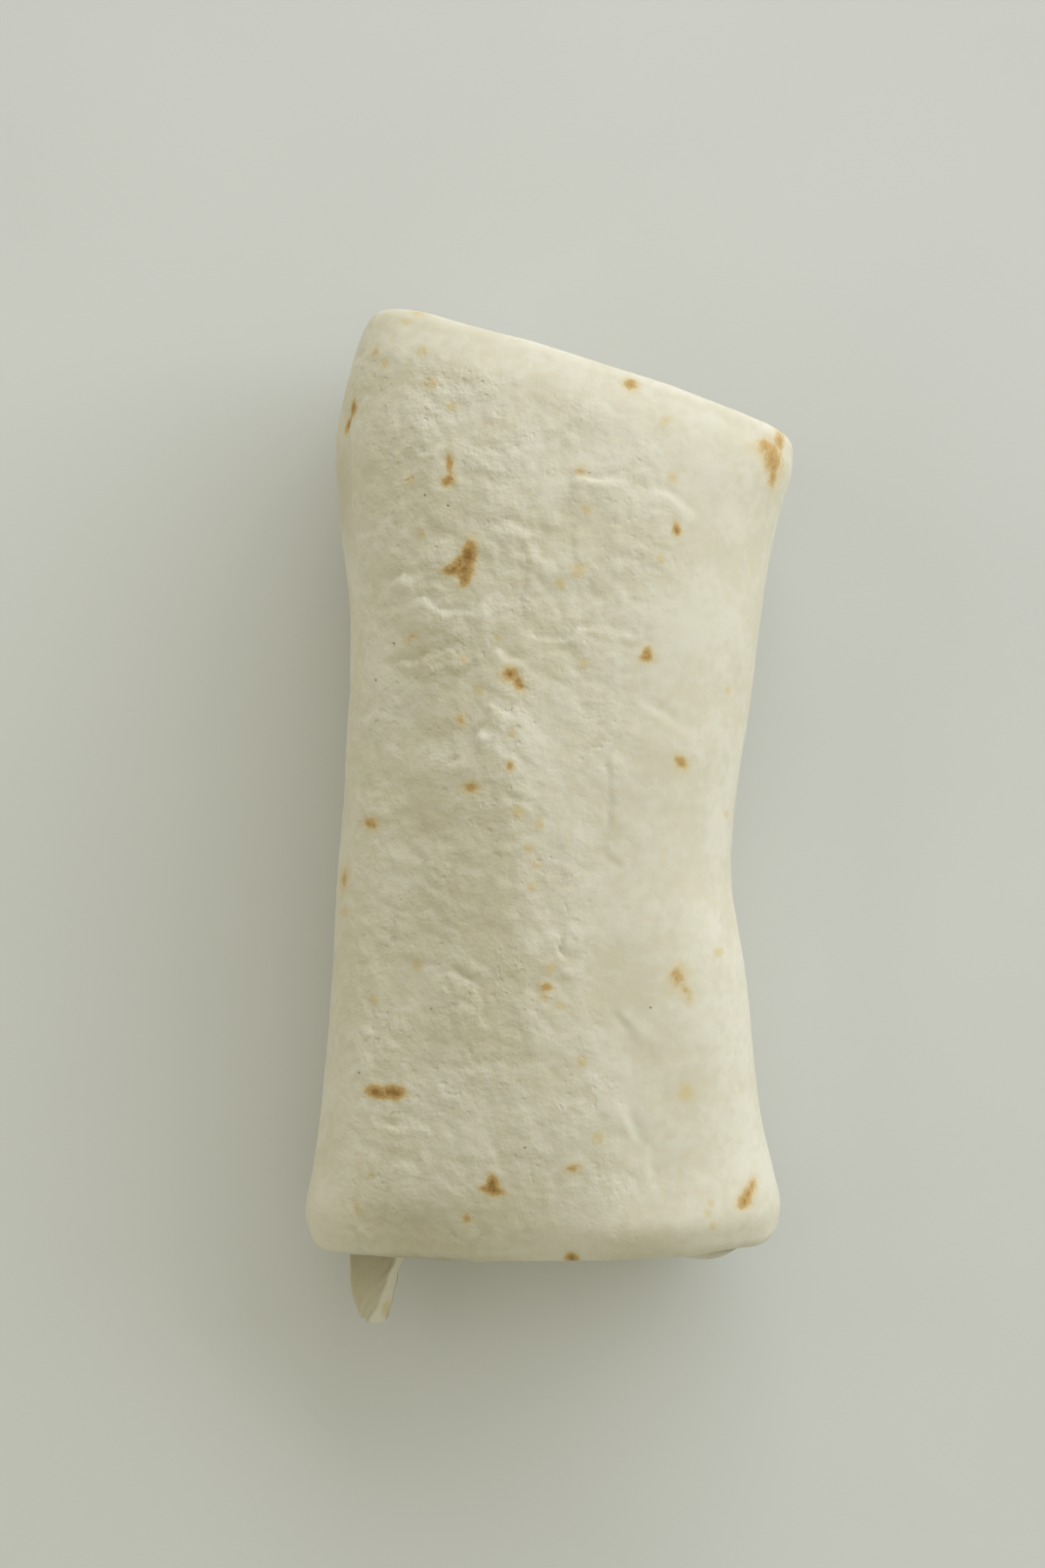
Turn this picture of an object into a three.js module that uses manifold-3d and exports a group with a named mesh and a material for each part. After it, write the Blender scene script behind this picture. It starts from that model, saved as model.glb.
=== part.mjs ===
// A chimichanga before it is fried: a round flour tortilla, its sides folded in, rolled round a filling
// and laid seam side down. Millimetres. +X runs across the roll, +Y along it and +Z up.
// The origin is under the middle of the bounding box, on the surface that the roll lies on.

import * as THREE from "three";
import { mergeVertices } from "three/addons/utils/BufferGeometryUtils.js";
import Module from "manifold-3d";

// The sheet of dough.
const PLY = 2; // thickness of one layer
const TORTILLA_RADIUS = 127;

// The roll, station by station from the near end (-Y) to the far end. left and right are the points of its
// two flanks in plan, top the height of its crown, side the height at which it is widest, and bottom the
// height of its underside, which is pressed flat where it would reach below the surface. crest says how far
// the crown lies to the right of the middle.
const STATIONS = [
  { left: [-35.2, -60.8], right: [33.9, -59.2], top: 31.4, side: 14.2, bottom: 3.2, crest: 3 },
  { left: [-35.9, -57.8], right: [34.0, -56.4], top: 33.5, side: 14.7, bottom: 2.0, crest: 4 },
  { left: [-35.3, -52.6], right: [32.8, -51.8], top: 35.5, side: 15.2, bottom: 0.5, crest: 5 },
  { left: [-33.9, -44.0], right: [31.1, -44.0], top: 37.0, side: 15.7, bottom: -1.0, crest: 6 },
  { left: [-32.8, -33.0], right: [29.8, -33.0], top: 37.9, side: 16.2, bottom: -1.7, crest: 7 },
  { left: [-32.1, -22.0], right: [28.7, -22.6], top: 38.4, side: 16.5, bottom: -1.8, crest: 8 },
  { left: [-31.7, -14.0], right: [27.4, -15.0], top: 38.6, side: 16.6, bottom: -1.8, crest: 8 },
  { left: [-31.1, -5.0], right: [26.6, -7.0], top: 38.8, side: 16.6, bottom: -1.8, crest: 7 },
  { left: [-30.3, 6.0], right: [27.6, 4.0], top: 39.0, side: 16.6, bottom: -1.8, crest: 6 },
  { left: [-29.7, 18.0], right: [29.3, 15.0], top: 39.0, side: 16.6, bottom: -1.8, crest: 5 },
  { left: [-29.6, 31.0], right: [30.7, 26.0], top: 39.0, side: 16.5, bottom: -1.7, crest: 4 },
  { left: [-31.1, 44.0], right: [31.9, 35.5], top: 38.8, side: 16.3, bottom: -1.3, crest: 3 },
  { left: [-31.7, 55.0], right: [33.3, 42.5], top: 38.4, side: 16.1, bottom: -0.3, crest: 2 },
  { left: [-30.1, 63.5], right: [34.7, 47.3], top: 37.7, side: 15.9, bottom: 1.2, crest: 2 },
  { left: [-28.4, 69.2], right: [35.7, 50.6], top: 36.6, side: 15.7, bottom: 2.7, crest: 1 },
  { left: [-27.2, 72.8], right: [35.9, 53.0], top: 34.8, side: 15.5, bottom: 4.2, crest: 1 },
];
const CROWN_POWER = 2.4; // 2 is a round crown, and more is a squarer one
const UNDERSIDE_POWER = 2.6;

// How the two ends depart from straight lines between their corners: the near end bulges, with a stretch
// of its lower lip pushed out, and the far end has its left corner rounded off.
const NEAR_END = { bulge: 2.7, lowerLipOut: 1.6, lowerLipAt: 0.76, lowerLipSpread: 0.2 };
const FAR_END = { bulge: 0.6, cornerCut: 2.2, cornerSpread: 0.16 };

// The seam under the roll is the tortilla's round rim, bent back towards both ends.
const SEAM_X = -7; // where it is nearest the middle
const SEAM_STEP = 1.6;

// Each end is a mouth: the doubled sheet makes a rolled outer lip, then a crevice, then the inner turn of
// the roll, set back behind the lip, with a slit along its middle.
const LIP_AT_CROWN = { out: 4, in: 3, start: 30 }; // its two radii, and how steeply it sets out in degrees
const LIP_AT_FLANK = { out: 2, in: PLY, start: 0 };
const CREVICE_WIDTH = 0.9;
const CREVICE_DEPTH = 5;
const CORNER_DEPTH = 9; // from a corner of the mouth to the end of the slit
const INNER_TURN_SETBACK = 3.2;
const INNER_TURN_BULGE = 1.6;
const SLIT_WIDTH = 1.4;
const SLIT_DEPTH = 2.4;

// The loose corner of the tortilla that sticks out of the near end, under the lip: a tapering leaf of
// dough that stands on its left edge and leans to the right, more so at its tip.
const LEAF = {
  root: new THREE.Vector3(-25.8, -55, 12.4),
  tip: new THREE.Vector3(-26.1, -76.6, 9.4),
  halfWidth: 5,
  thickness: 2.6,
  tipShare: 0.3, // width of the blunt tip as a share of the width at the root
  rootTilt: 38, // degrees about the leaf's own axis
  tipTilt: 58,
  curl: 0.7, // how far the middle sags below the two edges
};

// How finely the solid is faceted.
const STEPS_PER_STATION = 3;
const STEPS_AROUND = 64;
const STEPS_OVER_LIP = 5;
const STEPS_OVER_INNER_TURN = 4;
const STEPS_ALONG_LEAF = 8;
const STEPS_ACROSS_LEAF = 5;

const wasm = await Module();
wasm.setup();

const { lerp, smoothstep, degToRad } = THREE.MathUtils;

// A smooth function of t, from 0 at the first station to 1 at the last.
function alongStations(read) {
  const curve = new THREE.SplineCurve(STATIONS.map((station) => new THREE.Vector2(read(station), 0)));
  return (t) => curve.getPoint(t).x;
}

const leftX = alongStations((station) => station.left[0]);
const leftY = alongStations((station) => station.left[1]);
const rightX = alongStations((station) => station.right[0]);
const rightY = alongStations((station) => station.right[1]);
const topHeight = alongStations((station) => station.top);
const sideHeight = alongStations((station) => station.side);
const bottomHeight = alongStations((station) => station.bottom);
const crestOffset = alongStations((station) => station.crest);

// The cross-section at t: its middle, its two directions in plan, and its sizes.
function sectionAt(t) {
  const left = new THREE.Vector3(leftX(t), leftY(t), 0);
  const right = new THREE.Vector3(rightX(t), rightY(t), 0);
  const across = right.clone().sub(left).normalize();
  const middle = left.clone().add(right).multiplyScalar(0.5);
  const halfWidth = left.distanceTo(right) / 2;
  const seamX = SEAM_X - (TORTILLA_RADIUS - Math.sqrt(TORTILLA_RADIUS ** 2 - middle.y ** 2));
  return {
    middle,
    across,
    along: new THREE.Vector3(-across.y, across.x, 0),
    halfWidth,
    top: topHeight(t),
    side: sideHeight(t),
    bottom: bottomHeight(t),
    crest: crestOffset(t),
    seamAngle: -Math.acos(seamX / halfWidth),
    nearness: Math.max(0, 1 - t / 0.3) ** 2,
    farness: Math.max(0, 1 - (1 - t) / 0.3) ** 2,
  };
}

// Height, from 1 in the middle to 0 at the edge, of a superellipse at a share of its half width.
function superellipse(share, power) {
  return Math.max(0, 1 - Math.min(1, Math.abs(share)) ** power) ** (1 / power);
}

// The outline of a section, as its distance across and its height, at an angle that runs from the seam
// round the right flank, over the crown, round the left flank and back to the seam.
function outlineAt(section, angle) {
  const x = section.halfWidth * Math.cos(angle);
  if (Math.sin(angle) >= 0) {
    const reach = section.halfWidth - Math.sign(x - section.crest) * section.crest;
    const crown = superellipse((x - section.crest) / reach, CROWN_POWER);
    return { x, z: section.side + (section.top - section.side) * crown };
  }
  const belly = superellipse(x / section.halfWidth, UNDERSIDE_POWER);
  const pressed = Math.max(0, section.side - (section.side - section.bottom) * belly);
  const pastLeftFlank = (angle - Math.PI) / (Math.PI + section.seamAngle);
  return { x, z: pressed + SEAM_STEP * smoothstep(pastLeftFlank, 0, 1) };
}

function bump(share, at, spread) {
  return Math.exp(-(((share - at) / spread) ** 2));
}

// How far a point of a section is moved along the roll by the shape of the nearer end.
function endBow(section, { x, z }) {
  const share = x / section.halfWidth;
  const dome = 1 - share ** 2;
  const low = smoothstep(section.side - z, 0, section.side / 2);
  const lowerLip = NEAR_END.lowerLipOut * low * bump(share, NEAR_END.lowerLipAt, NEAR_END.lowerLipSpread);
  const cornerCut = FAR_END.cornerCut * bump(share, -1, FAR_END.cornerSpread);
  return (
    section.farness * (FAR_END.bulge * dome - cornerCut) -
    section.nearness * (NEAR_END.bulge * dome + lowerLip)
  );
}

// A point of a section in space. outward moves it along the roll.
function placed(section, point, outward = 0) {
  return section.middle
    .clone()
    .addScaledVector(section.across, point.x)
    .addScaledVector(section.along, outward + endBow(section, point))
    .setZ(point.z);
}

function columnAngle(section, column) {
  return section.seamAngle + (2 * Math.PI * column) / (STEPS_AROUND - 1);
}

// The profile of a mouth from its rim to its slit: how far in each ring lies and how far it stands out.
// room is the distance from the rim to the slit, and fullness is 0 at a flank and 1 at the crown.
function mouthProfile(room, fullness) {
  const outRadius = lerp(LIP_AT_FLANK.out, LIP_AT_CROWN.out, fullness);
  const inRadius = lerp(LIP_AT_FLANK.in, LIP_AT_CROWN.in, fullness);
  const start = degToRad(lerp(LIP_AT_FLANK.start, LIP_AT_CROWN.start, fullness));
  const lipWidth = inRadius * (1 + Math.cos(start));
  const profile = [];
  for (let i = 1; i <= STEPS_OVER_LIP; i++) {
    const turn = lerp(start, Math.PI, i / STEPS_OVER_LIP);
    profile.push({
      inset: inRadius * (Math.cos(start) - Math.cos(turn)),
      out: outRadius * (Math.sin(turn) - Math.sin(start)),
    });
  }
  const innerStart = lipWidth + CREVICE_WIDTH;
  const innerWidth = room - SLIT_WIDTH / 2 - innerStart;
  profile.push({ inset: lipWidth + 0.2 * CREVICE_WIDTH, out: -CREVICE_DEPTH });
  profile.push({ inset: lipWidth + 0.8 * CREVICE_WIDTH, out: -CREVICE_DEPTH });
  for (let i = 0; i <= STEPS_OVER_INNER_TURN; i++) {
    const share = i / STEPS_OVER_INNER_TURN;
    const swell = INNER_TURN_BULGE * Math.sin(Math.PI * share);
    profile.push({ inset: innerStart + innerWidth * share, out: swell - INNER_TURN_SETBACK });
  }
  profile.push({ inset: room - 0.4 * SLIT_WIDTH, out: -INNER_TURN_SETBACK - SLIT_DEPTH });
  return profile;
}

// The rings of points that close an end. facing is -1 at the near end and 1 at the far one.
function mouthRings(section, facing) {
  const rings = [];
  for (let column = 0; column < STEPS_AROUND; column++) {
    const rim = outlineAt(section, columnAngle(section, column));
    const slit = { x: rim.x * (1 - CORNER_DEPTH / section.halfWidth), z: section.side };
    const room = Math.hypot(slit.x - rim.x, slit.z - rim.z);
    const fullness = Math.max(0, rim.z - section.side) / (section.top - section.side);
    mouthProfile(room, fullness).forEach(({ inset, out }, ring) => {
      const share = inset / room;
      const flat = new THREE.Vector2(lerp(rim.x, slit.x, share), lerp(rim.z, slit.z, share));
      rings[ring] ??= [];
      rings[ring].push({ flat, point: placed(section, { x: flat.x, z: flat.y }, facing * out) });
    });
  }
  return rings;
}

// A closed solid from an indexed list of points.
function solidFrom(points, triangles) {
  const geometry = new THREE.BufferGeometry().setFromPoints(points).setIndex(triangles.flat());
  const merged = mergeVertices(geometry, 1e-4);
  return new wasm.Manifold(
    new wasm.Mesh({
      numProp: 3,
      vertProperties: merged.attributes.position.array,
      triVerts: new Uint32Array(merged.index.array),
    }),
  );
}

// Two triangles for each cell between neighbouring rings, each of which closes on itself.
function wallBetween(rings, size) {
  const triangles = [];
  for (let ring = 0; ring + 1 < rings; ring++) {
    for (let column = 0; column < size; column++) {
      const next = (column + 1) % size;
      const [a, b] = [ring * size + column, ring * size + next];
      triangles.push([a, b + size, b], [a, a + size, b + size]);
    }
  }
  return triangles;
}

function rolledTortilla() {
  const steps = STEPS_PER_STATION * (STATIONS.length - 1);
  const rings = [];
  for (let step = 0; step <= steps; step++) {
    const section = sectionAt(step / steps);
    const ring = Array.from({ length: STEPS_AROUND }, (_, column) =>
      placed(section, outlineAt(section, columnAngle(section, column))),
    );
    rings.push(ring);
  }
  const nearMouth = mouthRings(sectionAt(0), -1);
  const farMouth = mouthRings(sectionAt(1), 1);
  rings.unshift(...nearMouth.map((ring) => ring.map(({ point }) => point)).reverse());
  rings.push(...farMouth.map((ring) => ring.map(({ point }) => point)));

  const triangles = wallBetween(rings.length, STEPS_AROUND);
  const slitFaces = (mouth) => {
    const contour = mouth.at(-1).map(({ flat }) => flat);
    return THREE.ShapeUtils.triangulateShape(contour, []);
  };
  const last = (rings.length - 1) * STEPS_AROUND;
  slitFaces(nearMouth).forEach(([a, b, c]) => triangles.push([a, b, c]));
  slitFaces(farMouth).forEach(([a, b, c]) => triangles.push([last + a, last + c, last + b]));
  return solidFrom(rings.flat(), triangles);
}

// The leaf is a stack of curled strips from its root, inside the roll, to its tip.
function looseCorner() {
  const axis = LEAF.tip.clone().sub(LEAF.root);
  const points = [];
  for (let step = 0; step <= STEPS_ALONG_LEAF; step++) {
    const share = step / STEPS_ALONG_LEAF;
    const centre = LEAF.root.clone().addScaledVector(axis, share);
    const narrowing = Math.sqrt(1 - (1 - LEAF.tipShare ** 2) * share ** 2.4);
    const tilt = degToRad(lerp(LEAF.rootTilt, LEAF.tipTilt, share));
    const strip = [];
    for (let i = 0; i <= STEPS_ACROSS_LEAF; i++) {
      const across = (2 * i) / STEPS_ACROSS_LEAF - 1;
      const x = across * LEAF.halfWidth * narrowing;
      const sag = LEAF.curl * (across ** 2 - 1) * narrowing;
      strip.push({ x, z: sag + LEAF.thickness / 2 });
      strip.unshift({ x, z: sag - LEAF.thickness / 2 });
    }
    strip.forEach(({ x, z }) => {
      const turned = new THREE.Vector3(x, 0, z).applyAxisAngle(new THREE.Vector3(0, 1, 0), -tilt);
      points.push(centre.clone().add(turned));
    });
  }
  const size = 2 * (STEPS_ACROSS_LEAF + 1);
  const last = STEPS_ALONG_LEAF * size;
  const triangles = wallBetween(STEPS_ALONG_LEAF + 1, size);
  for (let i = 1; i + 1 < size; i++) {
    triangles.push([0, i, i + 1], [last, last + i + 1, last + i]);
  }
  return solidFrom(points, triangles);
}

// The geometry of a solid, with the origin under the middle of its bounding box.
function geometryOf(solid) {
  const { vertProperties, triVerts } = solid.getMesh();
  const geometry = new THREE.BufferGeometry()
    .setAttribute("position", new THREE.BufferAttribute(vertProperties, 3))
    .setIndex(new THREE.BufferAttribute(triVerts, 1));
  geometry.computeBoundingBox();
  const { min, max } = geometry.boundingBox;
  geometry.translate(-(min.x + max.x) / 2, -(min.y + max.y) / 2, -min.z);
  geometry.computeVertexNormals();
  return geometry;
}

const tortilla = new THREE.Mesh(
  geometryOf(rolledTortilla().add(looseCorner())),
  new THREE.MeshStandardMaterial({ color: 0xe7e0c8, roughness: 0.85, metalness: 0 }),
);
tortilla.name = "tortilla_wrap";

const chimichanga = new THREE.Group();
chimichanga.add(tortilla);

export default chimichanga;
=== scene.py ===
import math

import bmesh
import bpy
import numpy as np
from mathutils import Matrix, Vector


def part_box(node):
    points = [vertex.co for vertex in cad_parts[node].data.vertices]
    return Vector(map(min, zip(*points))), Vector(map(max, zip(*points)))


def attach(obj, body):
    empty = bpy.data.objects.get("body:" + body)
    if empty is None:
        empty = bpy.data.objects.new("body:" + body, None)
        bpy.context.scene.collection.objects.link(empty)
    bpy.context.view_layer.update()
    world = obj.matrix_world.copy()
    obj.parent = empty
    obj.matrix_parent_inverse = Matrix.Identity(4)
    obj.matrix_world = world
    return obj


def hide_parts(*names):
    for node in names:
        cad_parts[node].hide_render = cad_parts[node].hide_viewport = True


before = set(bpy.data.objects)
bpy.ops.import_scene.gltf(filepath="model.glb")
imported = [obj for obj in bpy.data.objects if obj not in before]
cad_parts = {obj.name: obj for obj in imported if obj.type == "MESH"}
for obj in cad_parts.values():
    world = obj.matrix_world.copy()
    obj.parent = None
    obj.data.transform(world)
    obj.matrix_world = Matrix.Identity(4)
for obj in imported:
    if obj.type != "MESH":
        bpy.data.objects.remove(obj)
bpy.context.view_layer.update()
mm = 0.001
print("frame loaded")

# the roll, in mm: the same sections, lips and seam as the solid has
rollShape = {
    # left x, left y, right x, right y, top, side, bottom, crest
    "stations": [
        (-35.2, -60.8, 33.9, -59.2, 31.4, 14.2, 3.2, 3),
        (-35.9, -57.8, 34.0, -56.4, 33.5, 14.7, 2.0, 4),
        (-35.3, -52.6, 32.8, -51.8, 35.5, 15.2, 0.5, 5),
        (-33.9, -44.0, 31.1, -44.0, 37.0, 15.7, -1.0, 6),
        (-32.8, -33.0, 29.8, -33.0, 37.9, 16.2, -1.7, 7),
        (-32.1, -22.0, 28.7, -22.6, 38.4, 16.5, -1.8, 8),
        (-31.7, -14.0, 27.4, -15.0, 38.6, 16.6, -1.8, 8),
        (-31.1, -5.0, 26.6, -7.0, 38.8, 16.6, -1.8, 7),
        (-30.3, 6.0, 27.6, 4.0, 39.0, 16.6, -1.8, 6),
        (-29.7, 18.0, 29.3, 15.0, 39.0, 16.6, -1.8, 5),
        (-29.6, 31.0, 30.7, 26.0, 39.0, 16.5, -1.7, 4),
        (-31.1, 44.0, 31.9, 35.5, 38.8, 16.3, -1.3, 3),
        (-31.7, 55.0, 33.3, 42.5, 38.4, 16.1, -0.3, 2),
        (-30.1, 63.5, 34.7, 47.3, 37.7, 15.9, 1.2, 2),
        (-28.4, 69.2, 35.7, 50.6, 36.6, 15.7, 2.7, 1),
        (-27.2, 72.8, 35.9, 53.0, 34.8, 15.5, 4.2, 1),
    ],
    "crownPower": 2.4,
    "undersidePower": 2.6,
    "endReach": 0.3,      # share of the length over which each end bulges
    "nearEnd": {"bulge": 2.7, "lipOut": 1.6, "lipAt": 0.76, "lipSpread": 0.2},
    "farEnd": {"bulge": 0.6, "cornerCut": 2.2, "cornerSpread": 0.16},
    "seamX": -7,
    "seamStep": 1.6,
    "tortillaRadius": 127,
    "lipAtCrown": {"out": 4, "in": 3, "start": 30},
    "lipAtFlank": {"out": 2, "in": 2, "start": 0},
    "creviceWidth": 0.9,
    "cornerDepth": 9,
}


def splineThrough(values, t):
    values = np.asarray(values, float)
    last = len(values) - 1
    place = np.clip(t, 0, 1) * last
    i = np.clip(np.floor(place).astype(int), 0, last - 1)
    w = place - i
    a, b = values[i], values[i + 1]
    leaving = (b - values[np.maximum(i - 1, 0)]) / 2
    arriving = (values[np.minimum(i + 2, last)] - a) / 2
    cubic = 2 * a - 2 * b + leaving + arriving
    square = 3 * b - 3 * a - 2 * leaving - arriving
    return ((cubic * w + square) * w + leaving) * w + a


def curveThrough(points, count):
    t = np.linspace(0, 1, count)
    return np.stack([splineThrough(values, t) for values in zip(*points)], axis=-1)


def smooth(x, low=0.0, high=1.0):
    x = np.clip((x - low) / (high - low), 0, 1)
    return x * x * (3 - 2 * x)


def mix(a, b, share):
    return a + (b - a) * share


def bell(x, at, spread):
    return np.exp(-(((x - at) / spread) ** 2))


def unit(vectors):
    return vectors / np.maximum(np.linalg.norm(vectors, axis=-1, keepdims=True), 1e-9)


def walkedAlong(x, y):
    # distance walked along a line, at each of its points
    return np.append(0, np.cumsum(np.hypot(np.diff(x), np.diff(y))))


def wander(along, waves, seed):
    # a smooth uneven line about 0, one value for each place along it
    rng = np.random.default_rng(seed)
    line = 0
    for wave in waves:
        line = line + np.sin(2 * math.pi * (along / wave + rng.random())) / len(waves)
    return line


def ripple(place, wave, seed):
    # a smooth uneven field about 0 over the plan, its bumps about one wave apart
    rng = np.random.default_rng(seed)
    field = np.zeros(len(place))
    for way in rng.uniform(0, 2 * math.pi, 7):
        reach = place @ (math.cos(way), math.sin(way))
        field += np.sin(2 * math.pi * (reach / (wave * rng.uniform(0.7, 1.5)) + rng.random())) / 3
    return field


def sectionsAt(t):
    names = ["leftX", "leftY", "rightX", "rightY", "top", "side", "bottom", "crest"]
    t = np.atleast_1d(np.asarray(t, float))
    columns = zip(*rollShape["stations"])
    s = {name: splineThrough(values, t)[:, None] for name, values in zip(names, columns)}
    width = np.hypot(s["rightX"] - s["leftX"], s["rightY"] - s["leftY"])
    s["acrossX"] = (s["rightX"] - s["leftX"]) / width
    s["acrossY"] = (s["rightY"] - s["leftY"]) / width
    s["midX"] = (s["leftX"] + s["rightX"]) / 2
    s["midY"] = (s["leftY"] + s["rightY"]) / 2
    s["half"] = width / 2
    radius = rollShape["tortillaRadius"]
    seamX = rollShape["seamX"] - (radius - np.sqrt(radius ** 2 - s["midY"] ** 2))
    s["seamAngle"] = -np.arccos(seamX / s["half"])
    t = t[:, None]
    s["near"] = np.maximum(0, 1 - t / rollShape["endReach"]) ** 2
    s["far"] = np.maximum(0, 1 - (1 - t) / rollShape["endReach"]) ** 2
    return s


def superellipse(share, power):
    return np.maximum(0, 1 - np.minimum(1, np.abs(share)) ** power) ** (1 / power)


def ovalAt(s, angle):
    x = s["half"] * np.cos(angle)
    reach = s["half"] - np.sign(x - s["crest"]) * s["crest"]
    crown = superellipse((x - s["crest"]) / reach, rollShape["crownPower"])
    upper = s["side"] + (s["top"] - s["side"]) * crown
    belly = superellipse(x / s["half"], rollShape["undersidePower"])
    lower = np.maximum(0, s["side"] - (s["side"] - s["bottom"]) * belly)
    return x, np.where(np.sin(angle) >= 0, upper, lower)


def outlineAt(s, w):
    # from the seam round the right flank, the crown and the left flank, and under to the seam again
    angle = s["seamAngle"] + 2 * math.pi * w
    x, z = ovalAt(s, angle)
    tucked = rollShape["seamStep"] * smooth((angle - math.pi) / (math.pi + s["seamAngle"]))
    return x, z + tucked


def placed(s, x, z, outward=0.0):
    nearEnd, farEnd = rollShape["nearEnd"], rollShape["farEnd"]
    share = x / s["half"]
    dome = 1 - share ** 2
    low = smooth(s["side"] - z, 0, s["side"] / 2)
    lowerLip = nearEnd["lipOut"] * low * bell(share, nearEnd["lipAt"], nearEnd["lipSpread"])
    corner = farEnd["cornerCut"] * bell(share, -1, farEnd["cornerSpread"])
    along = outward - s["near"] * (nearEnd["bulge"] * dome + lowerLip)
    along = along + s["far"] * (farEnd["bulge"] * dome - corner)
    return np.stack([
        s["midX"] + s["acrossX"] * x - s["acrossY"] * along,
        s["midY"] + s["acrossY"] * x + s["acrossX"] * along,
        z + 0 * x,
    ], axis=-1)


def gridNormals(rings):
    rowWay = np.gradient(rings, axis=0)
    columnWay = np.roll(rings, -1, axis=1) - np.roll(rings, 1, axis=1)
    return unit(np.cross(rowWay, columnWay))


def gridFaces(rows, columns):
    # rings that close on themselves, with each end of the stack closed round a middle point
    index = np.arange(rows * columns).reshape(rows, columns)
    a, b = index[:-1], np.roll(index[:-1], -1, axis=1)
    d, c = index[1:], np.roll(index[1:], -1, axis=1)
    faces = np.stack([a, d, c, b], axis=-1).reshape(-1, 4).tolist()
    startMiddle, endMiddle = rows * columns, rows * columns + 1
    first, last = index[0].tolist(), index[-1].tolist()
    faces += [(p, q, startMiddle) for p, q in zip(first, first[1:] + first[:1])]
    faces += [(q, p, endMiddle) for p, q in zip(last, last[1:] + last[:1])]
    return faces


def ringsToPiece(name, rings, marks):
    # the rings' points in metres as one closed mesh, with its marks kept as attributes: each mark is
    # one value for each point, or one for all
    points = np.vstack([rings.reshape(-1, 3), rings[0].mean(axis=0), rings[-1].mean(axis=0)])
    mesh = bpy.data.meshes.new(name)
    mesh.from_pydata(((points + shift) * mm).tolist(), [], gridFaces(*rings.shape[:2]))
    shell = bmesh.new()
    shell.from_mesh(mesh)
    if shell.calc_volume(signed=True) < 0:      # the rings ran the other way round
        bmesh.ops.reverse_faces(shell, faces=shell.faces)
    shell.to_mesh(mesh)
    shell.free()
    mesh.shade_smooth()
    for markName, values in marks.items():
        layer = mesh.attributes.new(markName, "FLOAT", "POINT")
        values = np.broadcast_to(values, len(points) - 2)      # the two middle points stay at 0
        layer.data.foreach_set("value", np.append(values, [0, 0]).astype(np.float32))
    piece = bpy.data.objects.new(name, mesh)
    bpy.context.collection.objects.link(piece)
    return piece


# outer sheet: rows along the roll, columns round it, and the folded lips at both ends
skin = {
    "rowStep": 0.5,
    "topStep": 0.44,
    "undersideStep": 0.9,
    "fineBelow": 6,       # how far below the widest line the fine columns go
    "lipSteps": 14,
    "creviceDepth": 6.5,
    "creviceSlant": 0.15,
    "seamEdge": [(0.45, 0.35), (-0.1, -0.15), (-0.4, -0.6), (-0.35, -1.05), (0.1, -1.45)],
}


def evenColumns(s):
    dense = np.linspace(0, 1, 1500)[None, :]
    x, z = outlineAt(s, dense)
    stride = np.hypot(np.diff(x, axis=1), np.diff(z, axis=1))
    upper = z[:, 1:] > s["side"] - skin["fineBelow"]
    weight = stride / np.where(upper, skin["topStep"], skin["undersideStep"])
    walked = np.hstack([np.zeros((len(x), 1)), np.cumsum(weight, axis=1)])
    count = int(np.median(walked[:, -1]))
    return np.stack([np.interp(np.linspace(0, row[-1], count), row, dense[0]) for row in walked])


def rimWithSeamEdge(s, w):
    x, z = outlineAt(s, w)
    step = (z[:, -1:] - z[:, :1]) / rollShape["seamStep"]
    edgeX = [x[:, -1:] + dx for dx, dz in skin["seamEdge"]]
    edgeZ = [z[:, -1:] + dz * step for dx, dz in skin["seamEdge"]]
    return np.hstack([x] + edgeX), np.hstack([z] + edgeZ)


def lipSizes(s, z):
    crown, flank = rollShape["lipAtCrown"], rollShape["lipAtFlank"]
    full = np.maximum(0, z - s["side"]) / (s["top"] - s["side"])
    return {name: mix(flank[name], crown[name], full) for name in crown}


def lipRings(s, x, z, facing):
    lip = lipSizes(s, z)
    slitX = x * (1 - rollShape["cornerDepth"] / s["half"])
    room = np.hypot(slitX - x, s["side"] - z)
    start = np.radians(lip["start"])
    width = lip["in"] * (1 + np.cos(start))
    profile = []
    for step in range(1, skin["lipSteps"] + 1):
        turn = mix(start, math.pi, step / skin["lipSteps"])
        inset = lip["in"] * (np.cos(start) - np.cos(turn))
        profile.append((inset, lip["out"] * (np.sin(turn) - np.sin(start))))
    lowest = profile[-1][1]
    for share in (0.25, 0.5, 0.75, 1):
        profile.append((width + skin["creviceSlant"] * share, mix(lowest, -skin["creviceDepth"], share)))
    profile.append((width + rollShape["creviceWidth"], -skin["creviceDepth"] + 0 * width))
    rings = []
    for inset, out in profile:
        share = inset / room
        rings.append(placed(s, mix(x, slitX, share), mix(z, s["side"], share), facing * out)[0])
    return np.stack(rings)


def skinShape():
    rough = np.linspace(0, 1, 400)
    middle = sectionsAt(rough)
    walked = walkedAlong(middle["midX"][:, 0], middle["midY"][:, 0])
    rows = int(walked[-1] / skin["rowStep"])
    s = sectionsAt(np.interp(np.linspace(0, walked[-1], rows), walked, rough))
    x, z = rimWithSeamEdge(s, evenColumns(s))
    near = lipRings(sectionsAt(0), x[:1], z[:1], -1)
    far = lipRings(sectionsAt(1), x[-1:], z[-1:], 1)
    return np.concatenate([near[::-1], placed(s, x, z), far])


skinRings = skinShape()
skinNormals = gridNormals(skinRings)

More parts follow.
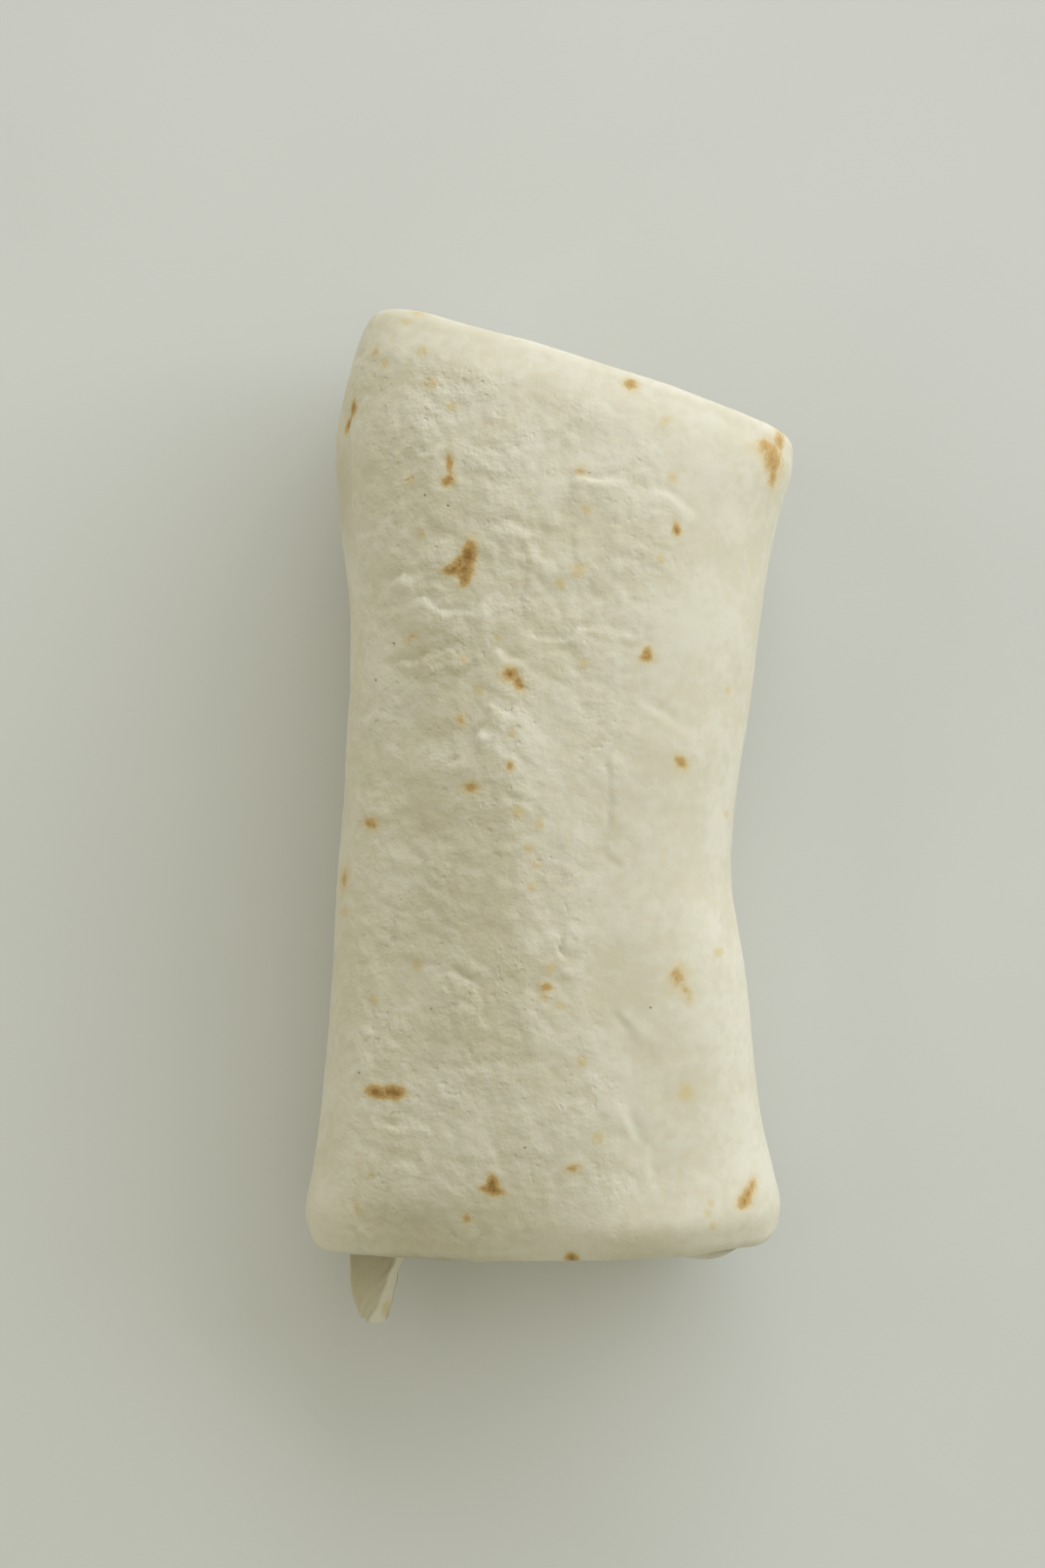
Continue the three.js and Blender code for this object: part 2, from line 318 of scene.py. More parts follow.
# the solid stands over the middle of its own box, so this shift brings each shape onto it
wrapLow, wrapHigh = [np.array(corner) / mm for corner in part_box("tortilla_wrap")]
shiftX = (wrapLow[0] + wrapHigh[0] - skinRings[..., 0].min() - skinRings[..., 0].max()) / 2
shift = np.array([shiftX, wrapHigh[1] - skinRings[..., 1].max(), 0])
print("outer sheet laid out:", skinRings.shape, "shift", shift.round(2))

# low relief of the upper side, in mm on the roll's own plan; turns are degrees from across to along
relief = {
    # domes, and dips where the rise is below 0: x, y, half length, half width, turn, rise
    "domes": [
        (-25.2, 1.0, 2.6, 1.8, 10, 0.5),
        (-19.0, -19.5, 1.6, 1.2, 0, 0.3),
        (-12.5, -20.8, 1.8, 1.2, 0, 0.3),
        (-0.8, -21.0, 1.8, 1.4, 0, 0.35),
        (2.2, -22.2, 1.0, 0.7, 0, 0.25),
        (-14.5, -30.0, 6.0, 4.5, 60, 0.45),
        (15.5, 9.0, 6.0, 6.0, 0, 0.35),
        (-5.6, 19.0, 3.6, 3.2, 0, 0.35),
        (-8.0, 8.0, 4.5, 7.0, -20, 0.35),
        (18.0, 40.5, 3.4, 5.0, 0, 0.3),
        (-32.5, -58.0, 4.0, 5.0, 0, 0.8),
        (-22.0, 61.0, 4.0, 9.0, -20, 0.3),
        (7.5, -49.0, 4.0, 8.0, 10, 0.3),
        (-18.0, -3.5, 5.0, 4.0, 0, -0.5),
        (-18.5, 13.0, 6.0, 4.0, 20, -0.3),
        (-5.6, 19.2, 1.8, 1.6, 0, -0.35),
        (5.5, 52.5, 9.0, 3.0, 10, -0.4),
        (2.0, 31.0, 6.0, 2.2, 5, -0.35),
        (-9.3, -6.3, 1.1, 1.0, 0, -0.2),
        (-1.0, -12.0, 3.0, 12.0, 5, -0.35),
    ],
    # the roll's slow rises and falls: a line, its heights from one end to the other, and how far they spread
    "swells": [
        ([(-6, 28), (-4, 5), (-2, -15), (1, -40), (4, -60)], [0.1, 0.8, 1.1, 0.9, 0.4], 8.0),
        ([(-23, 28), (-23, 5), (-22, -15), (-21, -35), (-21, -56)], [-0.1, -1.2, -1.6, -1.2, -0.6], 7.0),
        ([(-32, -68), (-20, -68), (-8, -68)], [-3.0, -4.6, -1.6], 7.0),
        ([(0, -61.5), (12, -61.5), (22, -61), (31, -60)], [0.3, 0.7, 0.8, 0.6], 4.5),
        ([(-35, -61), (-26, -61.8), (-16, -62.4), (-8, -62.8)], [1.0, 1.5, 1.2, 0.3], 2.4),
        ([(-2, -62), (10, -62), (22, -61), (33, -59)], [1.4, 3.4, 3.8, 3.0], 8.5),
    ],
    # places drawn out sideways: x, y, z, pull along x, pull along y, spread
    "pulls": [
        (-34.5, -63.0, 24, -1.2, -0.5, 6.0),
        (-36.0, -65.0, 24, -0.6, -1.1, 4.0),
        (35.0, -62.0, 24, 0.1, -1.9, 6.0),
        (-27.0, 71.5, 29, -0.5, 1.9, 6.5),
        (-26.5, 73.0, 28, -1.4, 1.1, 4.5),
        (3.0, -65.0, 32, 0.0, 1.0, 14.0),
        (23.0, -61.0, 6, 0.0, -3.6, 8.0),      # the lower lip comes out below the upper one
        (23.0, -62.0, 17, 0.0, 1.8, 4.0),
    ],
    # a groove along a line, and a low lip beside it: left of the way the line runs, or right of it
    "creases": [
        ([(-20.5, 52.0), (-17.5, 52.3), (-15.5, 54.0)], 0.4, 0.7, "right"),
        ([(-20.5, 54.0), (-17.3, 56.5), (-14.3, 59.6)], 0.25, 0.8, "right"),
        ([(-7.5, 50.5), (-5.0, 51.5), (-2.0, 52.3)], 0.25, 0.5, "right"),
        ([(-21.0, 49.3), (-18.5, 49.7), (-16.0, 50.8)], 0.3, 0.7, "right"),
        ([(-1.8, 55.7), (0.0, 56.8)], 0.2, 0.5, "right"),
        ([(0.8, 53.0), (3.2, 54.3)], 0.2, 0.5, "right"),
        ([(1.4, 46.7), (3.5, 47.4), (6.5, 47.6), (9.5, 48.2)], 0.6, 0.7, "right"),
        ([(9.0, 47.6), (13.0, 46.3), (17.5, 45.3), (21.0, 42.0)], 0.22, 1.5, "right"),
        ([(-25.0, 32.0), (-22.5, 34.0), (-19.5, 35.0)], 0.8, 0.7, "right"),
        ([(-23.4, 29.0), (-20.0, 30.6), (-16.5, 30.3), (-13.0, 29.0), (-9.6, 29.8), (-8.2, 33.0)],
         0.8, 0.75, "right"),
        ([(-20.6, 21.8), (-17.0, 22.9), (-14.0, 24.2)], 0.8, 0.65, "right"),
        ([(-24.5, 23.0), (-21.5, 21.7), (-18.5, 21.4)], 0.65, 0.65, "right"),
        ([(-14.8, 21.0), (-12.0, 20.3), (-9.4, 22.8)], 0.55, 0.55, "left"),
        ([(-12.0, 21.0), (-8.5, 22.8), (-5.5, 22.6), (-2.9, 20.6), (-2.3, 17.6)], 0.4, 0.6, "right"),
        ([(-9.4, 16.0), (-6.5, 15.3), (-3.6, 15.8)], 0.5, 0.65, "right"),
        ([(-15.8, 6.2), (-12.5, 9.0), (-10.0, 12.0), (-7.8, 15.6)], 0.75, 0.8, "right"),
        ([(-6.0, 26.2), (-2.5, 25.6), (1.5, 25.5), (5.0, 26.4), (8.5, 26.6)], 0.6, 0.7, "right"),
        ([(7.0, 26.8), (9.5, 26.2), (12.0, 24.8)], 0.2, 1.2, "right"),
        ([(-4.2, 40.0), (-3.6, 35.0), (-3.9, 30.5), (-3.2, 26.5)], 0.35, 0.6, "left"),
        ([(7.6, 13.0), (8.2, 6.0), (8.2, 0.0), (7.6, -6.0)], 0.3, 0.9, "left"),
        ([(8.5, 16.4), (12.5, 15.8), (16.5, 14.4), (20.0, 12.0), (22.2, 8.5)], 0.22, 1.6, "right"),
        ([(-18.0, -24.6), (-16.2, -22.8), (-13.0, -22.6), (-10.6, -24.2), (-9.5, -27.4), (-8.9, -32.5)],
         0.65, 0.8, "right"),
        ([(-19.0, -26.2), (-15.6, -24.7), (-12.0, -26.5)], 0.25, 0.6, "right"),
        ([(1.0, -16.2), (1.2, -18.2), (2.2, -20.2)], 0.6, 0.5, "right"),
        ([(7.6, -26.0), (10.0, -29.2), (11.5, -31.8), (12.5, -35.0)], 0.18, 1.3, "left"),
        ([(11.4, -33.0), (10.8, -39.0), (11.2, -43.0), (13.5, -47.0), (14.6, -51.0), (14.6, -55.0)],
         0.28, 1.3, "right"),
        ([(10.3, -50.5), (12.0, -52.0), (13.3, -54.2)], 0.25, 0.6, "right"),
        ([(-5.0, -40.0), (-2.8, -40.8), (-0.5, -42.8)], 0.4, 0.6, "right"),
        ([(6.6, -4.0), (8.2, -6.2), (10.8, -6.6)], 0.12, 0.9, "left"),
        ([(-29.0, -59.0), (-27.5, -62.0)], 0.5, 0.45, "left"),
        ([(-12.0, -58.5), (-9.5, -56.6), (-7.0, -57.6)], 0.25, 0.6, "right"),
        ([(-26.5, -43.5), (-22.0, -44.5), (-18.0, -43.6)], 0.35, 0.8, "right"),
        ([(-22.0, -34.5), (-18.0, -35.5), (-14.5, -34.8)], 0.25, 0.6, "right"),
        ([(-25.0, -13.0), (-21.0, -14.0), (-17.5, -13.4)], 0.2, 0.7, "right"),
    ],
    "grooveShare": 0.55,
    "grooveAt": -0.2,     # these four are in widths of the groove
    "grooveSpread": 0.6,
    "lipFrom": -0.4,
    "lipReach": 3.6,
    "fadeShare": 0.3,     # share of a crease over which each of its ends dies away
    "unevenWave": 5.0,
    "wobble": 0.55,
    "wobbleWave": 4.5,
    # long hollow along the left flank: y where it starts and ends, and the height that it lies at
    "flankFold": {"from": 31, "to": 64, "fade": 8, "at": 24, "spread": 3.2, "depth": 1.3},
}


def planShare(place, middle, size, turn):
    # distance from the middle of an oval, 1 on its rim
    c, s = math.cos(math.radians(turn)), math.sin(math.radians(turn))
    dx, dy = place[:, 0] - middle[0], place[:, 1] - middle[1]
    return np.hypot((dx * c + dy * s) / size[0], (dy * c - dx * s) / size[1])


def besidePath(place, path):
    # distance to the left of the path, and the share of the way along it
    line = curveThrough(path, 8 * len(path))
    best = np.full(len(place), 1e9)
    side = np.zeros(len(place))
    share = np.zeros(len(place))
    for step, (a, b) in enumerate(zip(line[:-1], line[1:])):
        way = b - a
        along = np.clip((place - a) @ way / (way @ way), 0, 1)
        gap = place - a - along[:, None] * way
        distance = np.hypot(gap[:, 0], gap[:, 1])
        closer = distance < best
        best = np.where(closer, distance, best)
        side = np.where(closer, way[0] * gap[:, 1] - way[1] * gap[:, 0], side)
        share = np.where(closer, (step + along) / (len(line) - 1), share)
    return np.where(side < 0, -best, best), share


def reliefAt(place):
    rise = np.zeros(len(place))
    for x, y, long, wide, turn, height in relief["domes"]:
        rise += height * np.exp(-planShare(place, (x, y), (long, wide), turn) ** 2)
    wobble = np.stack([ripple(place, relief["wobbleWave"], seed) for seed in (21, 22)], axis=-1)
    wobble = wobble * relief["wobble"]
    for path, depth, width, lipSide in relief["creases"]:
        margin = 4 * relief["lipReach"] * width      # beyond it the lip has died away
        low, high = np.min(path, axis=0) - margin, np.max(path, axis=0) + margin
        close = np.all((place > low) & (place < high), axis=1)
        gap, share = besidePath(place[close] + wobble[close], path)
        gap = gap if lipSide == "left" else -gap
        fade = smooth(share, 0, relief["fadeShare"]) * smooth(1 - share, 0, relief["fadeShare"])
        fade = fade * (0.75 + 0.35 * ripple(place[close], relief["unevenWave"], 23))
        groove = bell(gap, relief["grooveAt"] * width, relief["grooveSpread"] * width)
        groove = relief["grooveShare"] * groove
        lip = smooth(gap, relief["lipFrom"] * width, width)
        lip = lip * np.exp(-np.maximum(gap, 0) / (relief["lipReach"] * width))
        rise[close] += depth * (lip - groove) * fade
    return rise


def swellRings(rings, still=17, full=33):
    # the roll rises and falls from nothing at the still height to all of it at the full height,
    # lips and all, then a few places are drawn out sideways
    place = rings[..., :2].reshape(-1, 2)
    rise = np.zeros(len(place))
    for path, heights, spread in relief["swells"]:
        gap, share = besidePath(place, path)
        rise += splineThrough(heights, share) * bell(gap, 0, spread)
    swollen = rings.copy()
    upper = smooth(rings[..., 2], still, full)
    swollen[..., 2] += rise.reshape(rings.shape[:2]) * upper
    for x, y, z, pullX, pullY, spread in relief["pulls"]:
        hold = bell(np.linalg.norm(rings - (x, y, z), axis=-1), 0, spread)
        swollen[..., 0] += pullX * hold
        swollen[..., 1] += pullY * hold
    return swollen


def dressSkin(rings, normals):
    upward = smooth(normals[..., 2], 0.0, 0.35)
    rise = reliefAt(rings[..., :2].reshape(-1, 2)).reshape(upward.shape) * upward
    hollow = relief["flankFold"]
    x, y, z = np.moveaxis(rings, -1, 0)
    window = smooth(y, hollow["from"], hollow["from"] + hollow["fade"])
    window = window * (1 - smooth(y, hollow["to"] - hollow["fade"], hollow["to"]))
    rise -= hollow["depth"] * window * bell(z, hollow["at"], hollow["spread"]) * (x < 0)
    return rings + normals * rise[..., None]


skinRings = dressSkin(swellRings(skinRings), skinNormals)
print("creases, domes and dips pressed into the sheet")

# toasted marks, in mm on the plan: x, y, half length, half width, turn, how dark
toast = {
    "marks": [
        # three-cornered mark
        (-11.8, 36.7, 2.1, 0.9, 78, 1.0), (-12.4, 35.0, 1.3, 1.3, 0, 0.85),
        (-13.8, 35.0, 1.5, 0.75, 12, 0.9), (-12.3, 33.6, 1.2, 0.9, 60, 0.8),
        (-13.0, 35.8, 1.4, 0.9, 48, 0.85),
        # bar
        (-24.9, -39.6, 1.5, 0.8, -8, 1.0), (-22.6, -39.5, 1.7, 0.85, 0, 1.0),
        # three-lobed mark on the far right corner
        (30.8, 53.3, 1.9, 1.2, 20, 0.68), (33.2, 54.5, 1.9, 1.0, 80, 0.7),
        (32.1, 51.6, 2.6, 1.6, 95, 0.76), (32.1, 49.0, 1.9, 1.0, 90, 0.64),
        # star near the near end
        (-8.4, -52.3, 1.4, 0.7, 90, 1.0), (-8.4, -53.0, 1.6, 0.6, -12, 0.95),
        (-8.5, -52.6, 1.1, 1.0, 0, 0.8),
        # on the near lip
        (3.0, -63.0, 0.9, 0.9, 0, 0.95), (3.2, -64.3, 1.8, 0.7, 0, 0.85),
        # keyhole
        (-14.4, 49.9, 1.9, 0.55, 88, 0.7), (-14.6, 47.5, 0.95, 0.75, 0, 0.85),
        # on the left flank
        (-28.6, 59.2, 1.2, 0.45, 85, 0.95), (-29.4, 57.0, 1.2, 0.45, 72, 0.9),
        # kidney
        (-5.9, 20.0, 1.2, 0.9, 10, 0.85), (-4.7, 18.7, 1.1, 0.7, -60, 0.8), (-5.3, 19.3, 1.9, 1.5, 0, 0.3),
        # right of the middle
        (13.5, 22.9, 1.1, 0.8, 90, 0.78), (13.4, 22.3, 1.4, 0.6, 0, 0.7),
        (18.4, 7.7, 1.2, 0.9, -60, 0.74),
        (17.7, 40.6, 0.9, 0.6, 90, 0.85), (17.4, 42.0, 0.8, 0.4, 95, 0.45),
        (11.3, 61.4, 1.1, 0.8, -10, 0.8),
        # bean by the near right corner
        (27.7, -55.3, 1.25, 1.1, 30, 0.8), (28.3, -54.3, 1.5, 1.0, 60, 0.76),
        (29.0, -53.2, 1.4, 0.85, 66, 0.64),
        # broken ring near the right flank
        (17.8, -22.8, 1.9, 1.4, 70, 0.64), (19.0, -24.7, 2.1, 1.0, -70, 0.54),
        # single marks along the middle and the left
        (-0.8, -23.9, 1.1, 0.7, 0, 0.7), (-5.9, 7.1, 0.8, 0.6, 90, 0.7),
        (-11.4, 4.1, 1.4, 0.9, -10, 0.66), (-12.7, 13.6, 0.9, 1.2, 20, 0.55),
        (-19.9, 25.5, 1.3, 0.5, 25, 0.6), (3.2, -49.6, 1.25, 0.75, 15, 0.66),
        (-25.9, -1.1, 1.2, 0.9, -20, 0.75), (4.0, 48.7, 1.0, 0.9, 0, 0.6),
        (-25.2, 66.8, 1.1, 0.7, 80, 0.52), (-19.3, 72.5, 1.0, 0.5, -10, 0.6),
        (-30.0, -9.2, 2.3, 0.9, 80, 0.58), (-27.9, -56.3, 1.3, 0.8, 90, 0.5),
        (-12.0, -57.2, 0.9, 0.65, 90, 0.68),
    ],
    "markFade": 0.42,     # how fast a mark pales from its middle outward
    # yellowed marks: x, y, size
    "faint": [
        (-20.9, 71.2, 0.7), (-23.9, 65.0, 0.8), (-17.1, 61.6, 1.0), (-18.4, 66.4, 0.8), (-19.9, 47.8, 0.8),
        (-18.4, 40.1, 0.7), (5.0, 43.3, 0.8), (3.8, 34.7, 1.2), (1.3, 32.9, 0.9), (16.0, 56.0, 0.8),
        (17.1, 48.0, 0.8), (15.4, 36.3, 0.7), (25.4, 18.0, 0.6), (4.5, 21.8, 0.8), (25.2, 0.3, 0.6),
        (23.9, -19.5, 0.7), (-10.2, 17.9, 0.8), (-12.9, 13.7, 0.6), (-5.7, 11.8, 0.7), (-7.6, 25.2, 0.6),
        (-4.7, 0.8, 0.9), (-1.8, -1.0, 0.8), (-3.3, -4.5, 0.8), (-2.0, -6.7, 0.7), (-2.7, -9.8, 0.7),
        (-29.9, -14.0, 0.8), (-19.0, -21.1, 0.9), (-0.2, -21.3, 0.9), (-1.1, -25.5, 0.7), (1.2, -26.5, 0.7),
        (-25.4, -26.4, 0.8), (4.4, -34.4, 0.8), (19.0, -39.2, 1.3), (6.5, -45.2, 0.9), (22.7, -55.0, 0.7),
        (22.1, -56.4, 0.6), (23.0, -58.4, 0.7), (-25.8, -51.7, 0.6), (-12.4, 22.3, 0.6), (-14.0, 58.0, 0.7),
    ],
    "faintFade": 0.45,
    "specks": [
        (13.9, -27.1), (5.4, 48.4), (-17.9, 45.8), (-14.5, 44.1), (-10.0, 44.0), (2.0, 62.2), (-7.4, 62.7),
        (-22.5, 24.6), (-24.9, 19.7), (-16.9, -27.5), (-27.4, -37.0), (-3.8, -46.8),
    ],
    "speckReach": 1.3,
    # painted shade, where the dough lies in its own shade under the near lips, in the flank's hollow and by
    # the near left end: x, y, z, reach along each, share
    "shadedPlaces": [
        (-20.0, -64.7, 24.0, 13.0, 1.0, 6.0, 0.75), (25.0, -65.0, 9.0, 7.0, 1.0, 7.0, 1.0),
        (-31.5, 46.0, 21.0, 2.5, 11.0, 4.5, 0.3), (-19.5, -57.8, 30.0, 5.0, 3.2, 8.0, 0.2),
    ],
    # soft patches: x, y, half length, half width, turn, share
    "blisteredPatches": [(1.0, 38.0, 13.0, 11.0, 0, 1.0)],
    "wrinkledPatches": [(-20.0, 47.0, 9.0, 20.0, -8, 1.0), (-18.0, 14.0, 10.0, 16.0, 0, 0.8)],
    "dampAndShadePatches": [      # darker dough: partly a damper tone over the left middle, partly painted shade in the dips on the left and under the near left lip
        (-11.5, -8.0, 9.0, 12.0, 0, 0.3), (-19.0, -59.0, 11.0, 4.5, 0, 0.35),
        (-10.0, -26.0, 9.0, 8.0, 0, 0.22), (-19.0, -65.6, 13.0, 2.2, 0, 0.5),
        (-18.5, -1.3, 2.6, 2.0, 0, 0.42), (-16.8, 12.2, 3.4, 1.8, 10, 0.4), (-18.5, 23.4, 3.2, 1.6, 10, 0.4),
    ],
    "hiddenMarks": 34,    # strewn over the underside and the lower flanks
    "hiddenSeed": 12,
    "strewn": {"stretch": (0.6, 1.7), "size": (0.7, 1.9), "brownShare": 0.45, "dark": (0.5, 1.0),
               "fade": 0.55},
}


def toastOnPlan(place):
    brown, faint, speck = np.zeros((3, len(place)))
    for x, y, long, wide, turn, dark in toast["marks"]:
        left = 1 - toast["markFade"] * planShare(place, (x, y), (long, wide), turn)
        brown = np.maximum(brown, dark * left)
    for x, y, size in toast["faint"]:
        left = 1 - toast["faintFade"] * planShare(place, (x, y), (size, size), 0)
        faint = np.maximum(faint, left)
    for middle in toast["specks"]:
        # a speck is smaller than the sheet's faces, so it sits right on the closest of their corners
        closest = place[np.argmin(np.hypot(*(place - middle).T))]
        speck = np.maximum(speck, 1 - np.hypot(*(place - closest).T) / toast["speckReach"])
    return brown, faint, speck


def toastStrewn(points, allowed, count, seed):
    strewn = toast["strewn"]
    rng = np.random.default_rng(seed)
    brown, faint = np.zeros((2, len(points)))
    for middle in points[rng.choice(np.flatnonzero(allowed), count)]:
        stretch = rng.uniform(*strewn["stretch"], 3)
        size = rng.uniform(*strewn["size"])
        left = 1 - strewn["fade"] * np.linalg.norm((points - middle) / (size * stretch), axis=1)
        if rng.random() < strewn["brownShare"]:
            brown = np.maximum(brown, rng.uniform(*strewn["dark"]) * left)
        else:
            faint = np.maximum(faint, left)
    return brown, faint


def patchesAt(plan, patches):
    strength = np.zeros(len(plan))
    for x, y, long, wide, turn, share in patches:
        strength = np.maximum(strength, share * np.exp(-planShare(plan, (x, y), (long, wide), turn) ** 2))
    return strength


def shadedAt(points):
    shaded = np.zeros(len(points))
    for x, y, z, alongX, alongY, alongZ, share in toast["shadedPlaces"]:
        away = np.linalg.norm((points - (x, y, z)) / (alongX, alongY, alongZ), axis=1)
        shaded = np.maximum(shaded, share * bell(away, 0, 1))
    return shaded


# how strong the fine texture is: full on the left of the crown, calm on its right and along its edges
texture = {
    "calmFrom": [9, 6, 2, 3, 8, 14, 10],     # x where the calm right side starts, from near to far
    "calmAlong": (-62, 58),                  # y where that line starts and ends
    "calmFade": (0, 7),
    "calmShare": 0.2,
    "leftEdge": (-33, -27),
    "height": (18, 27),
    "leftShare": 1.9,
    "middleShare": 0.9,
    "leftToMiddle": (-14, 2),
    "farRim": {"y": 64.3, "slope": -0.314, "fade": (1.5, 6)},
    "unevenWave": 14.0,
}


def livelyAt(points):
    x, y, z = points.T
    start, end = texture["calmAlong"]
    calmFrom = splineThrough(texture["calmFrom"], (y - start) / (end - start))
    lively = smooth(x, *texture["leftEdge"]) * (1 - smooth(x - calmFrom, *texture["calmFade"]))
    lively = lively * smooth(z, *texture["height"])
    lively = lively * mix(texture["leftShare"], texture["middleShare"], smooth(x, *texture["leftToMiddle"]))
    rim = texture["farRim"]
    lively = lively * smooth(rim["y"] + rim["slope"] * x - y, *rim["fade"])
    uneven = 0.85 + 0.3 * ripple(points[:, :2], texture["unevenWave"], 24)
    return np.maximum(mix(texture["calmShare"], 1, lively * uneven), 0)


def skinMarks(rings, normals):
    points, upward = rings.reshape(-1, 3), normals[..., 2].ravel()
    plan = points[:, :2]
    brown, faint, speck = toastOnPlan(plan)
    hiddenBrown, hiddenFaint = toastStrewn(points, upward < -0.1, toast["hiddenMarks"], toast["hiddenSeed"])
    seen = upward > -0.05
    return {
        "toasted": np.where(seen, brown, hiddenBrown),
        "yellowed": np.where(seen, faint, hiddenFaint),
        "speck": np.where(seen, speck, 0),
        "blistered": patchesAt(plan, toast["blisteredPatches"]) * (upward > 0),
        "wrinkled": np.where(upward > 0, patchesAt(plan, toast["wrinkledPatches"]), 0.3),
        "lively": livelyAt(points),
        # painted shade at the places above, then darker dough that is partly a damp tone and partly painted
        # shade
        "paintedShade": shadedAt(points),
        "dampAndShade": patchesAt(plan, toast["dampAndShadePatches"]) * (upward > 0),
    }


skinNormals = gridNormals(skinRings)
outerSheet = ringsToPiece("outer_sheet", skinRings, skinMarks(skinRings, skinNormals))
print("outer sheet meshed:", len(outerSheet.data.polygons), "faces")

# folds that close the ends: one flattened spiral of doubled sheet inside each lip
endFolds = {
    "turns": 2.35,
    "step": 0.7,
    "slitInset": 14.5,    # how far the middle slit stays from each flank
    "gap": 0.25,
    "pitchAtCrown": 5.4,
    "pitchAtFlank": 4.3,
    "swell": 2.1,
    "sinkPerTurn": 1.5,
    "depth": 5.6,
    "frontSteps": 14,
    "sideSteps": 4,
    "level": 0.6,         # how far the spiral's start stands out
    "creviceShare": 0.6,  # share of the crevice that stays open between lip and folds
    "taper": (4, 5),      # length over which the start and the end of the spiral thin out
    "thinTo": 0.25,       # share of the thickness, and of the swell, that is left there
    "swellTo": 0.4,
    "unevenness": 0.7,
    "unevenWaves": (37, 23, 13, 7.3),
    "pleatHeight": 0.35,
    "pleatWaves": (3.1, 2.3),
    "swellWaves": (17, 9),
    # where the outermost layer comes forward, low on the right
    "peek": {"at": 0.72, "spread": 0.14, "turns": 0.9, "below": (0, 8)},
    "paintedShade": (1.5, 5.0),       # depths behind the lip between which the painted shade comes in, as the light goes
    "marks": 9,
}


def foldCentres(s, turn, startAngle):
    angle = startAngle + 2 * math.pi * turn
    x, z = ovalAt(s, angle)
    slitX = x * (1 - endFolds["slitInset"] / s["half"])
    room = np.hypot(slitX - x, s["side"] - z)
    lip = lipSizes(s, z)
    height = np.abs(z - s["side"]) / (s["top"] - s["side"])
    pitch = mix(endFolds["pitchAtFlank"], endFolds["pitchAtCrown"], np.clip(height, 0, 1))
    rim = lip["in"] * (1 + np.cos(np.radians(lip["start"])))
    rim = rim + rollShape["creviceWidth"] * endFolds["creviceShare"]
    inset = rim + pitch * (0.5 + turn)
    return x, z, slitX, room, np.minimum(inset, room * 0.97), pitch


def buildFolds(end, facing, startAngle, seed, forward):
    s = sectionsAt(end)
    rough = np.linspace(0, endFolds["turns"], 3000)
    x, z, slitX, room, inset, pitch = foldCentres(s, rough[None, :], startAngle)
    share = inset / room
    walked = walkedAlong(mix(x, slitX, share)[0], mix(z, s["side"], share)[0])
    rows = int(walked[-1] / endFolds["step"])
    along = np.linspace(0, walked[-1], rows)
    turn = np.interp(along, walked, rough)
    x, z, slitX, room, inset, pitch = foldCentres(s, turn[None, :], startAngle)
    ends = smooth(along, 0, endFolds["taper"][0]) * smooth(walked[-1] - along, 0, endFolds["taper"][1])
    half = (pitch - endFolds["gap"]) / 2 * mix(endFolds["thinTo"], 1, ends)
    flank = np.abs(x / s["half"])
    uneven = endFolds["unevenness"] * wander(along, endFolds["unevenWaves"], seed)
    pleat = endFolds["pleatHeight"] * wander(along, endFolds["pleatWaves"], seed + 1)
    level = endFolds["level"] - endFolds["sinkPerTurn"] * turn + uneven + pleat * smooth(flank, 0.5, 1)
    peek = endFolds["peek"]
    low = smooth(s["side"] - z, *peek["below"])
    level = level + forward * low * bell(x / s["half"], peek["at"], peek["spread"]) * (turn < peek["turns"])
    swell = endFolds["swell"] * mix(endFolds["swellTo"], 1, ends)
    swell = swell * (1 + 0.25 * wander(along, endFolds["swellWaves"], seed + 2))
    profile = []
    for step in range(endFolds["frontSteps"] + 1):
        phi = math.pi * step / endFolds["frontSteps"]
        profile.append((math.cos(phi), level + swell * (math.sin(phi) - 1)))
    for step in range(1, endFolds["sideSteps"] + 1):
        down = step / endFolds["sideSteps"]
        profile.append((-1, mix(level - swell, -endFolds["depth"], down)))
    for step in range(endFolds["sideSteps"]):
        up = step / endFolds["sideSteps"]
        profile.append((1, mix(-endFolds["depth"], level - swell, up)))
    columns = []
    for across, out in profile:
        share = (inset - across * half) / room
        columns.append(placed(s, mix(x, slitX, share), mix(z, s["side"], share), facing * out)[0])
    rings = np.stack(columns, axis=1)
    # painted shade: the deeper a point lies behind the lip, the less light finds it, so the darker it is
    # painted
    depth = np.stack([-np.broadcast_to(out, (1, rows))[0] for across, out in profile], axis=1)
    points = rings.reshape(-1, 3)
    brown, faint = toastStrewn(points, np.ones(len(points), bool), endFolds["marks"], seed + 3)
    marks = {
        "toasted": brown,
        "yellowed": faint,
        "speck": 0,
        "blistered": 0,
        "wrinkled": 0.5,
        "lively": 0.5,
        "paintedShade": smooth(depth, *endFolds["paintedShade"]).ravel(),
        "dampAndShade": 0.35,
    }
    return rings, marks


nearRings, nearMarks = buildFolds(end=0, facing=-1, startAngle=math.radians(200), seed=5, forward=2.2)
farRings, farMarks = buildFolds(end=1, facing=1, startAngle=math.radians(20), seed=8, forward=0.0)
nearFolds = ringsToPiece("near_folds", swellRings(nearRings, still=3, full=19), nearMarks)
farFolds = ringsToPiece("far_folds", swellRings(farRings, still=8, full=24), farMarks)
print("end folds wound:", nearRings.shape, farRings.shape)

